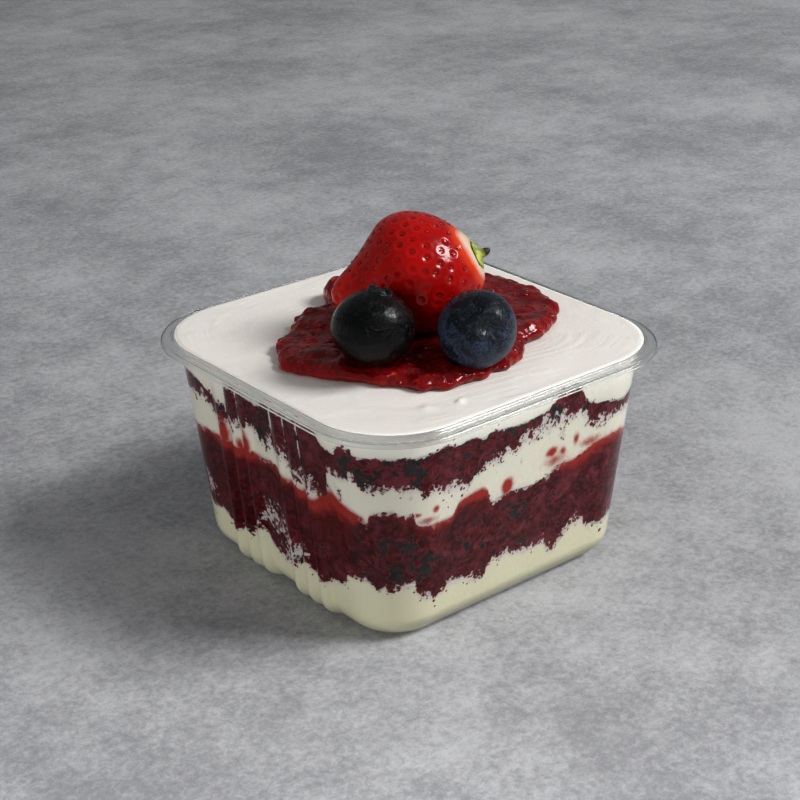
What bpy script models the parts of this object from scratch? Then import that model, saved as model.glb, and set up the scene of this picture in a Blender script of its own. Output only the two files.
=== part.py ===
"""Layered sponge and cream dessert in an open, square, clear plastic tub.

From the floor of the tub up: cream, red sponge, a smear of jam, cream, red sponge, cream.
Berry compote lies on the levelled cream and carries two blueberries and a strawberry.
Sizes below are in millimetres and become metres as each mesh is made. +Z is up, and the
origin is the middle of the tub's underside. The ribbed walls of the tub face +X and -X.
"""
import math

import bpy
from mathutils import Matrix, Vector, noise

MM = 0.001
QUARTER = math.pi / 2
GAP = 0.3                      # air kept between pieces that touch

# Tub: half widths and corner radii of its rounded square plan
BASE_HALF = 33.8
BASE_RADIUS = 11.0
WALL_TOP = 46.0
WALL_TOP_HALF = 39.3
WALL_TOP_RADIUS = 16.8
LIP_HALF = 43.3
LIP_RADIUS = 19.8
WALL = 0.65
FLOOR = 0.8
BASE_FILLET = 5.0
FILLET_STEPS = 4
CORNER_STEPS = 6

# The rim's section, out under the lip, back over its flange and bead, and down the mouth
MOUTH = 47.8                   # top of the smooth flare above the ribs
RIM_SECTION = [(40.2, MOUTH), (42.6, 48.4), (42.8, 47.9), (LIP_HALF, 47.9), (LIP_HALF, 48.8),
               (43.0, 49.1), (41.4, 49.1), (41.1, 49.0), (41.0, 49.6), (40.7, 49.9),
               (40.3, 49.7), (39.5, MOUTH)]

# Ribs: two groups of three on each ribbed wall, standing out of it
RIB_PITCH = 4.5
RIB_CENTRES = [6.0, 10.5, 15.0]
RIB_SAMPLES = 4                # outline points for each rib
RIB_DEPTH_LOW = 1.0
RIB_DEPTH_HIGH = 0.4
PLAIN_MARKS = [-12.0, 0.0, 12.0]

# Layers: heights of their boundaries at the wall, every 22.5 degrees anticlockwise from +X
CREAM_LEVEL = 49.8
MOUTH_HALF = 39.8              # half width of the cream at its level
UPPER_SPONGE_TOP = [43.5, 44.6, 43.0, 45.0, 44.0, 42.6, 40.4, 42.4,
                    45.0, 45.4, 43.9, 44.2, 42.8, 42.8, 41.5, 42.4]
UPPER_SPONGE_FOOT = [36.4, 38.0, 36.0, 38.8, 37.0, 36.2, 37.2, 38.9,
                     37.4, 32.8, 36.9, 34.9, 38.2, 38.8, 36.3, 34.8]
JAM_TOP = [30.6, 28.8, 30.2, 31.2, 29.0, 30.4, 29.0, 31.0,
           31.8, 30.4, 30.2, 29.8, 27.4, 30.2, 28.1, 29.4]
LOWER_SPONGE_FOOT = [12.4, 11.0, 13.6, 12.0, 13.8, 11.6, 12.6, 13.9,
                     14.3, 10.8, 15.2, 12.6, 12.9, 12.3, 10.9, 12.9]
JAM_THICKNESS = 1.8
CRAG_HEIGHT = 0.7              # ragged edge of the sponge
CRAG_WIDTH = 2.6
HEART_SHARE = 0.72             # where the layers level out inside
HEART_SWING = 0.4

# Compote: radii of its outline at the same angles, its thickness and lumps
COMPOTE_OUTLINE = [33.0, 32.4, 31.5, 29.5, 25.6, 23.0, 25.0, 28.0,
                   32.2, 31.5, 30.2, 32.6, 30.6, 27.4, 30.2, 32.8]
COMPOTE_SHARES = [0.94, 0.86, 0.76, 0.65, 0.54, 0.42, 0.3, 0.17]
COMPOTE_STATIONS = 72
COMPOTE_EDGE = 1.3             # height of its rounded rim's widest line
COMPOTE_THICKNESS = 3.3
COMPOTE_LUMP = 1.0
COMPOTE_LUMP_WIDTH = 5.5
SCALLOP = 0.9                  # lobes of its outline
SCALLOP_WIDTH = 4.0
SWELL = (-13.0, 15.0)          # where it is heaped up, beside the strawberry's tip
SWELL_HEIGHT = 2.0
SWELL_REACH = 13.0

# Blueberries: centre, width, height along the crown's axis, and that axis
LEFT_BLUEBERRY = ((-19.3, -13.2, 60.2), 17.0, 15.4, (0.24, -0.02, 0.97))
RIGHT_BLUEBERRY = ((-2.8, -25.5, 59.2), 15.9, 15.4, (-0.41, -0.79, 0.45))
CROWN_RADIUS = 2.7
CROWN_HEIGHT = 1.0
CROWN_DIP = 1.3
CROWN_POINTS = 5

# Strawberry: (distance from the tip, radius) along its axis; it lies on its side
STRAWBERRY_PROFILE = [(0.35, 2.0), (1.1, 3.4), (3.0, 5.0), (6.0, 6.8), (9.0, 8.8), (12.0, 11.0),
                      (15.0, 12.9), (18.0, 13.7), (21.0, 13.6), (24.0, 12.6), (26.6, 11.0),
                      (28.8, 8.8), (30.5, 6.5), (31.5, 4.4), (31.6, 2.9), (31.1, 1.5)]
STRAWBERRY_END = 30.8          # bottom of the dip that holds the stalk
STRAWBERRY_WIDEST = 18.0
STRAWBERRY_CENTRE = (-0.3, -3.4, 63.7)   # where its axis passes the widest part
STRAWBERRY_TIP_HEADING = 140.6
STRAWBERRY_TIP_DIP = 18.5
STRAWBERRY_FLATNESS = 0.92     # narrower across than up
STRAWBERRY_SEAT = 0.94         # flattened where it rests
STRAWBERRY_SKEW = 0.12         # its stalk end faces up a little

# Calyx: what is left of the green leaves round the stalk
CALYX_PROFILE = [(1.25, 3.3), (1.7, 3.2), (1.9, 1.5), (2.5, 1.1), (3.2, 0.7)]
CALYX_TIP = 3.8
CALYX_LEAVES = 5


def material(name, colour, roughness, transmission=0.0):
    made = bpy.data.materials.new(name)
    made.use_nodes = True
    shader = made.node_tree.nodes["Principled BSDF"]
    shader.inputs["Base Color"].default_value = (*colour, 1.0)
    shader.inputs["Roughness"].default_value = roughness
    shader.inputs["Metallic"].default_value = 0.0
    shader.inputs["Transmission Weight"].default_value = transmission
    return made


def solid(name, points, faces, finish):
    """One named object from points in millimetres."""
    mesh = bpy.data.meshes.new(name)
    mesh.from_pydata([Vector(point) * MM for point in points], [], faces)
    mesh.materials.append(finish)
    made = bpy.data.objects.new(name, mesh)
    bpy.context.scene.collection.objects.link(made)
    mesh.shade_smooth()
    mesh.set_sharp_from_angle(angle=math.radians(40))
    return made


def loft(rings, foot, crown, swapped_from=None):
    """Points and triangles of a closed skin from the foot point, over the rings, to the crown.

    Each band is cut along one diagonal. From ring swapped_from on it is the other one, so
    that a surface met from outside in is cut like one met from inside out.
    """
    count = len(rings[0])
    points = [point for ring in rings for point in ring] + [foot, crown]
    foot_index = len(points) - 2
    faces = []
    for step in range(count):
        following = (step + 1) % count
        faces.append((foot_index, following, step))
        for band in range(len(rings) - 1):
            a, b = band * count + step, band * count + following
            c, d = b + count, a + count
            if swapped_from is not None and band >= swapped_from:
                faces += [(a, b, d), (b, c, d)]
            else:
                faces += [(a, b, c), (a, c, d)]
        last = (len(rings) - 1) * count
        faces.append((last + step, last + following, foot_index + 1))
    return points, faces


def mix(first, second, share):
    return first + (second - first) * share


def smooth_step(share):
    share = min(max(share, 0.0), 1.0)
    return share * share * (3.0 - 2.0 * share)


def around(values, angle):
    """A smooth curve through values spread evenly over one turn."""
    place = (angle / (2 * math.pi)) % 1.0 * len(values)
    index = int(place) % len(values)
    return mix(values[index], values[(index + 1) % len(values)], smooth_step(place - int(place)))


def relief(x, y, z, width, seed):
    """Seeded unevenness between about -1 and 1, with features of the given width."""
    return 1.6 * noise.noise(Vector((x / width, y / width, z / width + 17.3 * seed)))


# Plan outline -----------------------------------------------------------------------------

def rib_marks():
    first = RIB_CENTRES[0] - RIB_PITCH / 2
    steps = len(RIB_CENTRES) * RIB_SAMPLES
    group = [first + RIB_PITCH * step / RIB_SAMPLES for step in range(steps + 1)]
    return [-mark for mark in reversed(group)] + group


def stations():
    """Places round the outline, anticlockwise: (side, mark along it, None) or (side, None, angle)."""
    found = []
    for side in range(4):
        marks = rib_marks() if side % 2 == 0 else PLAIN_MARKS
        found += [(side, mark, None) for mark in marks]
        found += [(side, None, QUARTER * step / CORNER_STEPS) for step in range(CORNER_STEPS + 1)]
    return found


STATIONS = stations()


def plan_radius(half):
    """Corner radius of the plan at a half width: wall below the rim, rim above."""
    if half <= WALL_TOP_HALF:
        share = (half - BASE_HALF) / (WALL_TOP_HALF - BASE_HALF)
        return mix(BASE_RADIUS, WALL_TOP_RADIUS, share)
    share = (half - WALL_TOP_HALF) / (LIP_HALF - WALL_TOP_HALF)
    return mix(WALL_TOP_RADIUS, LIP_RADIUS, share)


def rib_depth(z):
    depth = mix(RIB_DEPTH_LOW, RIB_DEPTH_HIGH, z / WALL_TOP)
    run_out = min(max((MOUTH - z) / (MOUTH - WALL_TOP), 0.0), 1.0)
    return depth * run_out * smooth_step(0.6 + z / BASE_FILLET)


def rib_wave(mark):
    """1 on a rib's crest, 0 between ribs and on the plain middle of the wall."""
    nearest = min(abs(abs(mark) - centre) for centre in RIB_CENTRES)
    return 0.5 + 0.5 * math.cos(2 * math.pi * min(nearest, RIB_PITCH / 2) / RIB_PITCH)


def wall_point(station, half, z):
    side, mark, angle = station
    if angle is None:
        x = half + (rib_depth(z) * rib_wave(mark) if side % 2 == 0 else 0.0)
        y = mark
    else:
        radius = plan_radius(half)
        x = half - radius + radius * math.cos(angle)
        y = half - radius + radius * math.sin(angle)
    turn = side * QUARTER
    return (x * math.cos(turn) - y * math.sin(turn), x * math.sin(turn) + y * math.cos(turn), z)


def wall_ring(half, z):
    return [wall_point(station, half, z) for station in STATIONS]


def wall_line(z):
    """Half width of the tub's outer face without its bottom fillet."""
    return mix(BASE_HALF, WALL_TOP_HALF, z / WALL_TOP)


def fillet_rings(inset, rise):
    """Rings up the rounded bottom edge of a shape that sits inside the tub's outer face."""
    rings = []
    for step in range(FILLET_STEPS + 1):
        angle = QUARTER * step / FILLET_STEPS
        z = rise + BASE_FILLET * (1 - math.cos(angle))
        rings.append(wall_ring(wall_line(z) - inset - BASE_FILLET * (1 - math.sin(angle)), z))
    return rings


# Tub --------------------------------------------------------------------------------------

def make_tub(finish):
    rings = fillet_rings(0.0, 0.0)
    rings.append(wall_ring(WALL_TOP_HALF, WALL_TOP))
    rings += [wall_ring(half, z) for half, z in RIM_SECTION]
    rings.append(wall_ring(WALL_TOP_HALF - WALL, WALL_TOP))
    rings += reversed(fillet_rings(WALL, FLOOR))
    points, faces = loft(rings, (0.0, 0.0, 0.0), (0.0, 0.0, FLOOR))
    return solid("tub", points, faces, finish)


# Layers -----------------------------------------------------------------------------------

def food_half(z):
    """Half width of the filling, which follows the wall and widens into the mouth."""
    inner = wall_line(min(z, WALL_TOP)) - WALL - GAP
    if z > WALL_TOP:
        inner = mix(inner, MOUTH_HALF, (z - WALL_TOP) / (CREAM_LEVEL - WALL_TOP))
    return inner


def boundary(heights, lift, seed):
    """The wall ring, the ring inside it and the middle point of one boundary between layers."""
    middle = sum(heights) / len(heights)
    edge, heart = [], []
    for station in STATIONS:
        x, y, _ = wall_point(station, WALL_TOP_HALF, 0.0)
        height = around(heights, math.atan2(y, x)) + CRAG_HEIGHT * relief(x, y, 0, CRAG_WIDTH, seed)
        height = min(height, WALL_TOP - GAP) + lift
        edge.append(wall_point(station, food_half(height), height))
        calm = mix(middle + lift, height, HEART_SWING)
        heart.append(Vector((*edge[-1][:2], 0)) * HEART_SHARE + Vector((0, 0, calm)))
    return edge, heart, (0.0, 0.0, middle + lift)


def make_layer(name, low, high, finish):
    low_edge, low_heart, low_middle = low
    high_edge, high_heart, high_middle = high
    points, faces = loft([low_heart, low_edge, high_edge, high_heart], low_middle, high_middle, 2)
    return solid(name, points, faces, finish)


def make_layers(cream, sponge, jam):
    half_gap = GAP / 2
    jam_foot = [height - JAM_THICKNESS for height in JAM_TOP]
    lower = {"foot": (LOWER_SPONGE_FOOT, 1), "top": (jam_foot, 2)}
    jam_lid = (JAM_TOP, 2)
    upper = {"foot": (UPPER_SPONGE_FOOT, 3), "top": (UPPER_SPONGE_TOP, 4)}

    def under(surface):
        heights, seed = surface
        return boundary(heights, -half_gap, seed)

    def over(surface):
        heights, seed = surface
        return boundary(heights, half_gap, seed)

    edge, heart, middle = under(lower["foot"])
    rings = fillet_rings(WALL + GAP, FLOOR + GAP)
    points, faces = loft(rings + [edge, heart], (0, 0, FLOOR + GAP), middle, len(rings))
    solid("cream_base", points, faces, cream)

    make_layer("sponge_lower", over(lower["foot"]), under(lower["top"]), sponge)
    make_layer("jam_layer", over(lower["top"]), under(jam_lid), jam)
    make_layer("cream_middle", over(jam_lid), under(upper["foot"]), cream)
    make_layer("sponge_upper", over(upper["foot"]), under(upper["top"]), sponge)

    edge, heart, middle = over(upper["top"])
    rim = [wall_ring(food_half(z), z) for z in (WALL_TOP, MOUTH, CREAM_LEVEL)]
    points, faces = loft([heart, edge] + rim, middle, (0, 0, CREAM_LEVEL))
    solid("cream_top", points, faces, cream)


# Fruit ------------------------------------------------------------------------------------

def spun(profile, segments, shape):
    """Rings round +Z; shape(radius, height, angle) gives each point."""
    turns = [2 * math.pi * step / segments for step in range(segments)]
    return [[shape(radius, height, turn) for turn in turns] for radius, height in profile]


def blueberry(name, berry, finish, grow=0.0):
    """An oblate berry with its crown, five points round a dip, at +Z of its own axis."""
    centre, width, height, axis = berry
    half_width, half_height = width / 2 + grow, height / 2 + grow
    profile = []
    for degrees in (-78, -62, -46, -30, -14, 2, 18, 34, 48, 60):
        angle = math.radians(degrees)
        profile.append((half_width * math.cos(angle), half_height * math.sin(angle)))
    brim = half_height * 0.93
    profile += [(CROWN_RADIUS, brim + CROWN_HEIGHT), (CROWN_RADIUS * 0.72, brim + CROWN_HEIGHT * 0.5),
                (CROWN_RADIUS * 0.5, brim - CROWN_DIP * 0.6)]

    def shape(radius, level, turn):
        points_up = max(0.0, math.cos(CROWN_POINTS * turn))
        if level > brim:
            level = brim + (level - brim) * (0.35 + 0.65 * points_up)
            radius *= 1.0 + 0.12 * points_up
        return (radius * math.cos(turn), radius * math.sin(turn), level)

    points, faces = loft(spun(profile, 30, shape), (0, 0, -half_height), (0, 0, brim - CROWN_DIP))
    made = solid(name, points, faces, finish)
    made.location = Vector(centre) * MM
    made.rotation_mode = "QUATERNION"
    made.rotation_quaternion = Vector(axis).to_track_quat("Z", "Y")
    return made


def lay_down(made):
    """Turn a strawberry piece, modelled along +Z from its tip, onto its side on the compote."""
    heading = Matrix.Rotation(math.radians(STRAWBERRY_TIP_HEADING + 180), 4, "Z")
    tilt = Matrix.Rotation(QUARTER - math.radians(STRAWBERRY_TIP_DIP), 4, "Y")
    back = Matrix.Translation((0, 0, -STRAWBERRY_WIDEST * MM))
    placed = Matrix.Translation(Vector(STRAWBERRY_CENTRE) * MM) @ heading @ tilt @ back
    made.location = placed.to_translation()
    made.rotation_mode = "QUATERNION"
    made.rotation_quaternion = placed.to_quaternion()
    return made


def strawberry_point(radius, along, turn):
    """A point of the skin. Local +X turns down onto the compote, local Y stays level."""
    down, across = radius * math.cos(turn), radius * math.sin(turn) * STRAWBERRY_FLATNESS
    along += STRAWBERRY_SKEW * down * smooth_step(along / STRAWBERRY_END)
    if down > 0:
        down *= STRAWBERRY_SEAT
    return (down, across, along)


def strawberry(name, finish, grow=0.0):
    profile = []
    for along, radius in STRAWBERRY_PROFILE:
        stretch = grow * (2 * along / STRAWBERRY_END - 1)
        profile.append((radius + grow, along + stretch))
    points, faces = loft(spun(profile, 32, strawberry_point), (0, 0, -grow), (0, 0, STRAWBERRY_END + grow))
    return lay_down(solid(name, points, faces, finish))


def make_calyx(finish):
    profile = [(radius, STRAWBERRY_END + along) for along, radius in CALYX_PROFILE]

    def shape(radius, level, turn):
        leaf = 1.0 + 0.22 * math.cos(CALYX_LEAVES * turn) if radius > 2.0 else 1.0
        down, across = radius * leaf * math.cos(turn), radius * leaf * math.sin(turn)
        return (down, across, level + STRAWBERRY_SKEW * down)

    points, faces = loft(spun(profile, 20, shape), (0, 0, STRAWBERRY_END + 0.4), (0, 0, STRAWBERRY_END + CALYX_TIP))
    return lay_down(solid("calyx", points, faces, finish))


# Compote ----------------------------------------------------------------------------------

def compote_point(turn, share, height):
    radius = around(COMPOTE_OUTLINE, turn)
    x, y = math.cos(turn), math.sin(turn)
    radius += SCALLOP * relief(radius * x, radius * y, 0, SCALLOP_WIDTH, 6)
    return (radius * share * x, radius * share * y, CREAM_LEVEL + GAP + height)


def compote_height(turn, share):
    x, y, _ = compote_point(turn, share, 0.0)
    lumps = COMPOTE_LUMP * relief(x, y, 0, COMPOTE_LUMP_WIDTH, 5)
    away = math.hypot(x - SWELL[0], y - SWELL[1])
    swell = SWELL_HEIGHT * smooth_step(1 - away / SWELL_REACH)
    return mix(COMPOTE_THICKNESS * 0.82, COMPOTE_THICKNESS, smooth_step((1 - share) * 4)) + lumps + swell


def make_compote(finish, cutters):
    turns = [2 * math.pi * step / COMPOTE_STATIONS for step in range(COMPOTE_STATIONS)]
    rings = [[compote_point(turn, 0.97, 0.0) for turn in turns],
             [compote_point(turn, 1.0, COMPOTE_EDGE) for turn in turns]]
    for share in COMPOTE_SHARES:
        rings.append([compote_point(turn, share, compote_height(turn, share)) for turn in turns])
    crown = (0, 0, CREAM_LEVEL + GAP + COMPOTE_THICKNESS)
    points, faces = loft(rings, (0, 0, CREAM_LEVEL + GAP), crown)
    made = solid("compote", points, faces, finish)
    for cutter in cutters:
        cutter.hide_render = True
        cutter.display_type = "WIRE"
        hollow = made.modifiers.new("seat of " + cutter.name, "BOOLEAN")
        hollow.operation = "DIFFERENCE"
        hollow.object = cutter
    return made


def main():
    for leftover in list(bpy.data.objects):
        bpy.data.objects.remove(leftover)
    clear = material("clear plastic", (0.95, 0.96, 0.96), 0.08, transmission=1.0)
    cream = material("cream", (0.82, 0.77, 0.68), 0.45)
    sponge = material("red sponge", (0.13, 0.012, 0.018), 0.85)
    jam = material("red jam", (0.35, 0.012, 0.015), 0.2)
    compote = material("berry compote", (0.2, 0.006, 0.01), 0.12)
    berry = material("blueberry skin", (0.012, 0.016, 0.03), 0.35)
    red = material("strawberry skin", (0.6, 0.015, 0.012), 0.22)
    leaf = material("strawberry leaf", (0.25, 0.4, 0.06), 0.5)

    make_tub(clear)
    make_layers(cream, sponge, jam)
    blueberry("blueberry_left", LEFT_BLUEBERRY, berry)
    blueberry("blueberry_right", RIGHT_BLUEBERRY, berry)
    strawberry("strawberry", red)
    make_calyx(leaf)
    cutters = [blueberry("seat_left", LEFT_BLUEBERRY, compote, GAP + 0.05),
               blueberry("seat_right", RIGHT_BLUEBERRY, compote, GAP + 0.05),
               strawberry("seat_strawberry", compote, GAP + 0.05)]
    make_compote(compote, cutters)


main()
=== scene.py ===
"""Looks of a layered sponge and cream dessert in its clear tub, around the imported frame.

Shapes are worked out in millimetres in the tub's own frame and become metres as each mesh is
made. The fruit is towards the -X, -Y corner. A place round the tub is a turn from 0 to 4, one
unit for each side with the corner after it: the ribbed +X side starts at 0, the smooth +Y side
at 1, the ribbed -X side at 2 and the smooth -Y side at 3.
"""
import math

import bpy
import numpy as np
from mathutils import Matrix, Vector


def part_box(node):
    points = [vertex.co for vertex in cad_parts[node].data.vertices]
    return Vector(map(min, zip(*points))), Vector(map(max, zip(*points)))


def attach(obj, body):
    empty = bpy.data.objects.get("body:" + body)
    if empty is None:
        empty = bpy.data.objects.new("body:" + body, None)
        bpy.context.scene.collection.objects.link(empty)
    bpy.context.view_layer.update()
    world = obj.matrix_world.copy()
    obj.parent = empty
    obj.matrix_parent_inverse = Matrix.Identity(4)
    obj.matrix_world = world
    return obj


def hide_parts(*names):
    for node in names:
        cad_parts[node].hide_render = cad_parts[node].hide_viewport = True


MM = 0.001
WELD = 0.004 * MM              # points closer than this become one
QUARTER = math.pi / 2
ROUND = 2 * math.pi
GOLDEN_ANGLE = 2.399963

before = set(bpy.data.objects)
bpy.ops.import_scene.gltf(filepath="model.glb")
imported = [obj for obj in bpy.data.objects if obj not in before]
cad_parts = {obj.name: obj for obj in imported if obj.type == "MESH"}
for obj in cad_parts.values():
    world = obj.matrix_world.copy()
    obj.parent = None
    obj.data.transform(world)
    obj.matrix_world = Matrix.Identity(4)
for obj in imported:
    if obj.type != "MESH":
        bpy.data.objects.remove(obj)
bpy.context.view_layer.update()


# Tub: half widths and corner radii of its plan, and its ribs
LIP_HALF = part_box("tub")[1][1] / MM
BASE_HALF = 33.8
BASE_RADIUS = 11.0
WALL_TOP = 46.0
WALL_TOP_HALF = 39.3
WALL_TOP_RADIUS = 16.8
LIP_RADIUS = 19.8
WALL = 0.65
RIM_SHEET = 0.5
FLOOR = 0.8
BASE_FILLET = 5.0
MOUTH = 47.8
RIB_PITCH = 4.5
RIB_CENTRES = np.array([6.0, 10.5, 15.0])
RIB_DEPTH_LOW = 1.6
RIB_DEPTH_HIGH = 0.4
BITE = 0.4                     # how far the filling reaches into the plastic

# Middle line of the rim's sheet, (half width, height) from the wall's top over the bead and the
# flange to the lip
RIM_LINE = [
    (38.97, 46.0), (39.35, 47.1), (39.85, 48.4), (40.2, 49.35), (40.6, 49.64), (41.0, 49.35),
    (41.2, 48.95), (41.55, 48.82), (42.3, 48.85), (42.8, 48.72), (43.02, 48.15)]

# Stations round the tub, and the straight share of each side's unit of turn
COLUMNS = 760
STRAIGHT = 0.69
TURN = np.arange(COLUMNS) * 4.0 / COLUMNS

# Layers: (turn, height) along each boundary where it meets the tub, the fruit's side first
CREAM_LEVEL = 49.8
UPPER_SPONGE_TOP = [
    (1.85, 43.2), (1.97, 43.5), (2.0, 43.0), (2.05, 41.4), (2.09, 40.3), (2.145, 40.3), (2.165, 44.8),
    (2.25, 45.2), (2.29, 44.6), (2.33, 44.6), (2.38, 45.2), (2.5, 45.5), (2.61, 45.4), (2.64, 44.5),
    (2.68, 42.7), (2.712, 42.8), (2.722, 44.4), (2.765, 44.6), (2.777, 43.4), (2.88, 43.5),
    (2.93, 43.5), (3.0, 44.5), (3.05, 43.4), (3.1, 44.0), (3.15, 43.2), (3.2, 43.5), (3.27, 43.0),
    (3.33, 42.9), (3.39, 43.4), (3.43, 44.6), (3.455, 46.3), (3.48, 46.3), (3.487, 45.0), (3.497, 46.3),
    (3.545, 46.3), (3.562, 44.8), (3.585, 42.4), (3.63, 41.0), (3.7, 39.8), (3.75, 39.2), (3.8, 39.6),
    (3.87, 40.6), (3.95, 41.8), (4.1, 42.4), (4.35, 43.5), (4.6, 44.6), (4.85, 43.0), (5.1, 45.0),
    (5.35, 44.0), (5.6, 42.6)]
UPPER_SPONGE_FOOT = [
    (1.85, 38.5), (1.97, 39.4), (2.03, 39.8), (2.07, 37.9), (2.09, 36.9), (2.14, 36.8), (2.2, 37.4),
    (2.24, 37.4), (2.275, 38.6), (2.31, 37.6), (2.345, 36.0), (2.38, 37.4), (2.41, 36.2), (2.45, 35.9),
    (2.48, 34.3), (2.51, 32.6), (2.53, 33.2), (2.56, 31.0), (2.59, 32.6), (2.62, 30.6), (2.645, 30.5),
    (2.66, 33.0), (2.675, 38.0), (2.74, 37.8), (2.755, 38.4), (2.775, 37.8), (2.8, 36.2), (2.86, 37.3),
    (2.9, 36.4), (2.93, 36.6), (2.945, 34.8), (2.97, 35.6), (3.0, 35.6), (3.01, 34.4), (3.05, 34.8),
    (3.09, 33.8), (3.115, 33.5), (3.13, 35.2), (3.165, 36.3), (3.2, 37.2), (3.235, 36.8), (3.25, 38.2),
    (3.3, 38.3), (3.33, 39.6), (3.41, 40.6), (3.54, 40.8), (3.57, 40.0), (3.6, 38.4), (3.62, 37.4),
    (3.68, 36.8), (3.78, 36.8), (3.87, 36.4), (4.1, 34.8), (4.35, 36.4), (4.6, 38.0), (4.85, 36.0),
    (5.1, 38.8), (5.35, 37.0), (5.6, 36.2)]
JAM_TOP = [
    (1.85, 29.5), (1.95, 30.4), (2.03, 30.8), (2.15, 30.8), (2.27, 31.5), (2.37, 31.7), (2.43, 30.4),
    (2.5, 30.0), (2.54, 29.0), (2.585, 28.3), (2.62, 30.0), (2.65, 31.3), (2.68, 32.3), (2.7, 31.6),
    (2.74, 30.1), (2.77, 29.8), (2.785, 29.2), (2.792, 28.0), (2.802, 29.7), (2.82, 30.7), (2.86, 31.2),
    (2.89, 30.0), (2.915, 30.2), (2.93, 27.8), (2.96, 27.2), (3.04, 27.1), (3.06, 28.2), (3.075, 29.8),
    (3.12, 30.4), (3.17, 30.2), (3.19, 29.4), (3.2, 27.4), (3.215, 26.5), (3.24, 27.1), (3.3, 27.5),
    (3.36, 26.9), (3.44, 27.0), (3.46, 28.4), (3.48, 29.1), (3.55, 28.9), (3.6, 29.6), (3.65, 30.7),
    (3.75, 31.4), (3.87, 28.9), (4.1, 29.4), (4.35, 30.6), (4.6, 28.8), (4.85, 30.2), (5.1, 31.2),
    (5.35, 29.0), (5.6, 30.4)]
LOWER_SPONGE_FOOT = [
    (1.85, 12.6), (1.97, 11.4), (2.03, 11.4), (2.06, 9.9), (2.09, 8.6), (2.13, 9.6), (2.15, 10.9),
    (2.2, 11.1), (2.24, 12.3), (2.255, 14.5), (2.28, 13.0), (2.3, 10.6), (2.34, 9.6), (2.4, 9.5),
    (2.44, 10.4), (2.5, 13.5), (2.52, 11.0), (2.56, 9.9), (2.6, 10.1), (2.63, 11.5), (2.665, 11.7),
    (2.69, 13.0), (2.705, 14.6), (2.75, 14.8), (2.79, 13.9), (2.815, 12.6), (2.835, 13.7),
    (2.855, 12.2), (2.87, 13.7), (2.91, 14.1), (2.93, 13.6), (2.945, 11.5), (2.97, 10.4), (3.0, 9.7),
    (3.035, 9.9), (3.06, 11.0), (3.14, 11.0), (3.165, 9.9), (3.2, 9.6), (3.22, 11.5), (3.245, 13.2),
    (3.265, 11.8), (3.3, 12.6), (3.34, 11.6), (3.4, 11.2), (3.455, 11.4), (3.475, 9.4), (3.5, 8.8),
    (3.53, 10.2), (3.56, 11.8), (3.58, 13.9), (3.61, 13.2), (3.65, 11.4), (3.69, 9.8), (3.75, 9.8),
    (3.87, 11.2), (4.1, 12.9), (4.35, 12.4), (4.6, 11.0), (4.85, 13.6), (5.1, 12.0), (5.35, 13.8),
    (5.6, 11.6)]
# Unevenness of those boundaries: (width, height)
SPONGE_RAGGED = [(2.4, 0.35), (1.1, 0.35), (0.6, 0.2)]
SPONGE_TOP_RAGGED = [(2.4, 0.25), (0.9, 0.2)]
JAM_RAGGED = [(2.5, 0.25), (1.1, 0.2)]
# Jam along the lower sponge's top: (turn, thickness) and (turn, strength)
JAM_THICKNESS = [
    (2.0, 1.4), (2.1, 2.0), (2.2, 2.6), (2.3, 2.2), (2.45, 2.2), (2.55, 3.2), (2.65, 5.0), (2.72, 4.0),
    (2.78, 1.6), (2.85, 2.0), (2.95, 1.8), (3.05, 1.6), (3.12, 2.6), (3.19, 1.2), (3.3, 0.6),
    (3.44, 0.8), (3.5, 2.2), (3.65, 3.0), (3.8, 2.4), (4.3, 1.4), (4.8, 2.4), (5.3, 1.6), (5.7, 2.2)]
JAM_STRENGTH = [
    (2.0, 0.55), (2.1, 0.9), (2.25, 0.9), (2.32, 0.5), (2.45, 0.55), (2.55, 0.9), (2.72, 1.0),
    (2.79, 0.4), (2.86, 0.3), (2.95, 0.45), (3.04, 0.7), (3.1, 0.55), (3.15, 1.0), (3.19, 0.9),
    (3.22, 0.1), (3.42, 0.1), (3.5, 0.5), (3.62, 0.75), (3.75, 0.6), (4.0, 0.3), (4.5, 0.8), (5.0, 0.5),
    (5.5, 0.9), (5.8, 0.6)]
# How far crumbs stray across the sponges' lower edges: (turn, reach)
LOWER_SCATTER = [
    (1.9, 1.2), (2.2, 1.6), (2.33, 3.0), (2.45, 3.0), (2.6, 1.8), (2.95, 1.5), (3.2, 1.6), (3.35, 1.8),
    (3.6, 2.4), (4.5, 1.8), (5.3, 2.2)]
UPPER_SCATTER = [
    (1.9, 1.6), (2.3, 2.4), (2.55, 3.0), (2.75, 1.7), (3.1, 1.9), (3.28, 3.0), (3.48, 3.4), (3.64, 2.8),
    (3.9, 2.0), (5.0, 2.4), (5.5, 2.0)]
JAM_SCATTER = 1.2
TOP_SCATTER = 0.7

# Marks on the wall, each (turn, height, half width in turns, half height, strength)
JAM_SMEARS = [
    (2.122, 33.4, 0.024, 3.6, 1.1), (2.165, 32.3, 0.02, 1.8, 0.5), (2.205, 32.2, 0.018, 1.8, 0.8),
    (2.248, 33.4, 0.02, 3.0, 1.1), (2.93, 30.3, 0.014, 0.5, 0.8), (2.985, 30.8, 0.012, 0.9, 0.9),
    (2.96, 28.6, 0.035, 1.0, 0.6), (3.16, 30.0, 0.022, 1.5, 1.1), (3.27, 29.3, 0.024, 1.9, 1.2),
    (3.45, 33.2, 0.026, 1.2, 1.0), (3.5, 32.5, 0.016, 1.2, 0.8), (3.555, 34.0, 0.014, 1.6, 0.8),
    (3.47, 31.0, 0.06, 1.8, 0.6), (3.62, 32.2, 0.06, 1.4, 0.6), (0.2, 33.0, 0.06, 1.2, 0.8),
    (0.7, 32.5, 0.05, 1.0, 0.9), (1.2, 33.5, 0.05, 1.2, 0.9), (1.65, 33.0, 0.04, 1.2, 0.8)]
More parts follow.
